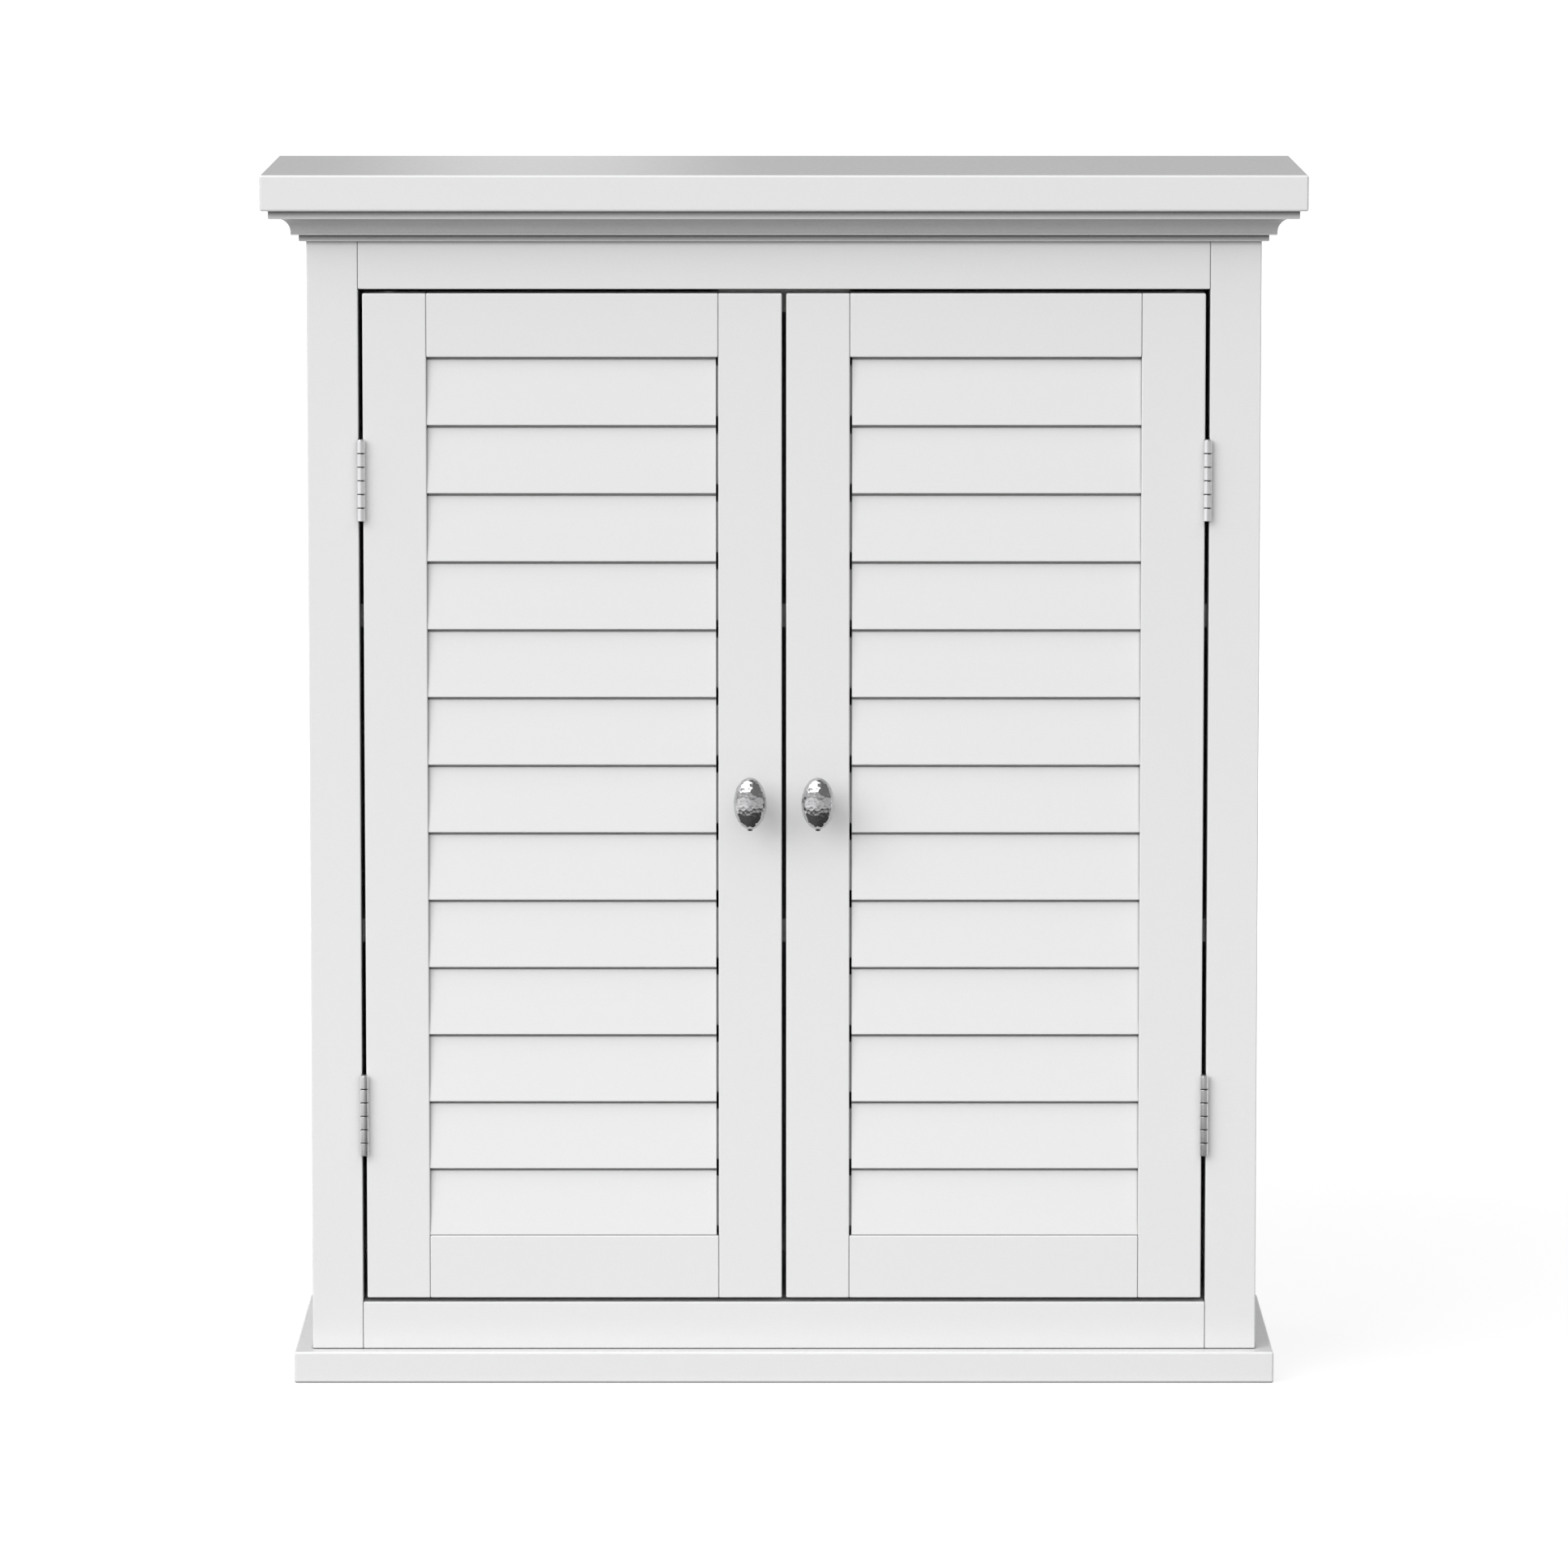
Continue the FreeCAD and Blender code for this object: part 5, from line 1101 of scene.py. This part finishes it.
def direction(azimuth, elevation):
    """The way towards a place round the cabinet; azimuth 0 is in front of it and 90 to its right."""
    turn, rise = math.radians(azimuth), math.radians(elevation)
    return Vector((math.sin(turn) * math.cos(rise), -math.cos(turn) * math.cos(rise), math.sin(rise)))


def panel_light(name, size, power, place):
    """A rectangular lamp that the camera doesn't see."""
    data = bpy.data.lights.new(name, "AREA")
    data.shape = "RECTANGLE"
    data.size, data.size_y = size
    data.energy = power
    obj = bpy.data.objects.new(name, data)
    bpy.context.scene.collection.objects.link(obj)
    obj.location = place
    obj.visible_camera = False
    return obj


def softbox(name, heading, size, power, distance):
    """A lamp at a distance from the cabinet, facing its middle."""
    obj = panel_light(name, size, power, LIT_MIDDLE + distance * direction(*heading))
    obj.rotation_euler = (LIT_MIDDLE - obj.location).to_track_quat("-Z", "Y").to_euler()
    return obj


def back_softboxes():
    """Low lamps behind the cabinet, which light its back and sides but not its top or its metal."""
    for azimuth, power in BACK_LAMPS:
        softbox("back_softbox", (azimuth, 0), BACK_SIZE, power, BACK_DISTANCE).visible_glossy = False


def floor_bounce():
    """The light that the floor in front of the cabinet throws at its lower half."""
    obj = panel_light("floor_bounce", BOUNCE_SIZE, BOUNCE_POWER, BOUNCE_PLACE)
    obj.rotation_euler = (QUARTER_TURN, 0, 0)
    obj.visible_glossy = obj.visible_transmission = False


def reflected_only(card, recipe, strength):
    """Makes a stage piece glow for polished metal alone."""
    glow = recipe.node("ShaderNodeEmission")
    recipe.link(strength, glow.inputs["Strength"])
    recipe.link(glow.outputs[0], recipe.output.inputs["Surface"])
    card.data.materials.append(recipe.material)
    card.visible_camera = card.visible_diffuse = card.visible_transmission = card.visible_shadow = False


def dark_floor():
    """The floor as the metal sees it, dark by the cabinet and pale further off."""
    card = block("studio_dark_floor", DARK_FLOOR_LOW, DARK_FLOOR_HIGH)
    recipe = Recipe("studio_dark_floor")
    away = recipe.node("ShaderNodeVectorMath", operation="LENGTH")
    recipe.link(recipe.spot, away.inputs[0])
    ramp = recipe.node("ShaderNodeValToRGB")
    ramp.color_ramp.elements.remove(ramp.color_ramp.elements[1])
    for place, level in FLOOR_SEEN:
        stop = ramp.color_ramp.elements.new(place / FLOOR_SEEN[-1][0])
        stop.color = (level, level, level, 1)
    ramp.color_ramp.elements.remove(ramp.color_ramp.elements[0])
    recipe.link(recipe.combined(away.outputs["Value"], FLOOR_SEEN[-1][0], "DIVIDE"), ramp.inputs["Fac"])
    parts = recipe.node("ShaderNodeSeparateXYZ")
    recipe.link(recipe.spot, parts.inputs[0])
    across = recipe.combined(parts.outputs["X"], away.outputs["Value"], "DIVIDE")
    sides = recipe.spread(across, *FLOOR_SIDES, *FLOOR_SIDES_TURN, soft=True)
    reflected_only(card, recipe, recipe.combined(ramp.outputs["Color"], sides, "MULTIPLY"))


def sky_dome():
    """The room as the metal sees it: a pale band low down, a softbox above at the left, grey beside it."""
    nothing_selected()
    bpy.ops.mesh.primitive_uv_sphere_add(
        segments=96, ring_count=48, radius=DOME_RADIUS, location=DOME_CENTRE
    )
    card = settle(named("studio_dome"))
    choose(card, "FACE", lambda centre, normal: centre.z < DOME_FOOT)
    bpy.ops.mesh.delete(type="FACE")
    close_edit()
    recipe = Recipe("studio_dome")
    offset = recipe.node("ShaderNodeVectorMath", operation="SUBTRACT")
    offset.inputs[1].default_value = DOME_CENTRE
    recipe.link(recipe.spot, offset.inputs[0])
    unit = recipe.node("ShaderNodeVectorMath", operation="NORMALIZE")
    recipe.link(offset.outputs[0], unit.inputs[0])
    parts = recipe.node("ShaderNodeSeparateXYZ")
    recipe.link(unit.outputs[0], parts.inputs[0])
    level = recipe.node("ShaderNodeVectorMath", operation="MULTIPLY")
    level.inputs[1].default_value = (1, 1, 0)
    recipe.link(unit.outputs[0], level.inputs[0])
    flat = recipe.node("ShaderNodeVectorMath", operation="NORMALIZE")
    recipe.link(level.outputs[0], flat.inputs[0])
    toward = recipe.node("ShaderNodeVectorMath", operation="DOT_PRODUCT")
    toward.inputs[1].default_value = direction(SOFTBOX_AZIMUTH, 0)
    recipe.link(flat.outputs[0], toward.inputs[0])
    side = toward.outputs["Value"]
    rise = parts.outputs["Z"]
    lit_sides = recipe.spread(side, 0, 1, *SOFTBOX_SIDES, soft=True)
    lit_rise = recipe.spread(rise, 0, 1, *SOFTBOX_RISE, soft=True)
    lit = recipe.combined(lit_sides, lit_rise, "MULTIPLY")
    room = recipe.spread(side, ROOM_DARK, ROOM_GREY, *ROOM_SIDES, soft=True)
    upper = recipe.spread(lit, room, SOFTBOX_SEEN, 0, 1)
    ahead = recipe.combined(parts.outputs["Y"], -1.0, "MULTIPLY")
    horizon = recipe.spread(side, *HORIZON_SEEN, *HORIZON_SIDES, soft=True)
    band = recipe.spread(ahead, BACK_SEEN, horizon, *BACK_TURN, soft=True)
    total = recipe.spread(rise, band, upper, *HORIZON_RISE, soft=True)
    behind = recipe.node("ShaderNodeVectorMath", operation="DISTANCE")
    behind.inputs[1].default_value = BACK_GLEAM_PLACE
    recipe.link(recipe.spot, behind.inputs[0])
    gleam = recipe.spread(behind.outputs["Value"], BACK_GLEAM, 0, *BACK_GLEAM_REACH, soft=True)
    reflected_only(card, recipe, recipe.combined(total, gleam))


def camera():
    data = bpy.data.cameras.new("camera")
    data.sensor_width = SENSOR_WIDTH
    data.lens = SENSOR_WIDTH * FOCAL_LENGTH_IN_PIXELS / PICTURE_SIDE
    data.clip_end = VIEW_REACH
    obj = bpy.data.objects.new("camera", data)
    bpy.context.scene.collection.objects.link(obj)
    obj.location = (0, face_y - CAMERA_DISTANCE, CAMERA_HEIGHT)
    obj.rotation_euler = (math.radians(90 - CAMERA_PITCH), 0, 0)
    bpy.context.scene.camera = obj


floor()
world()
softbox("key_softbox", KEY_HEADING, KEY_SIZE, KEY_POWER, KEY_DISTANCE)
back_softboxes()
floor_bounce()
dark_floor()
sky_dome()
camera()
bpy.context.scene.view_settings.view_transform = "Standard"
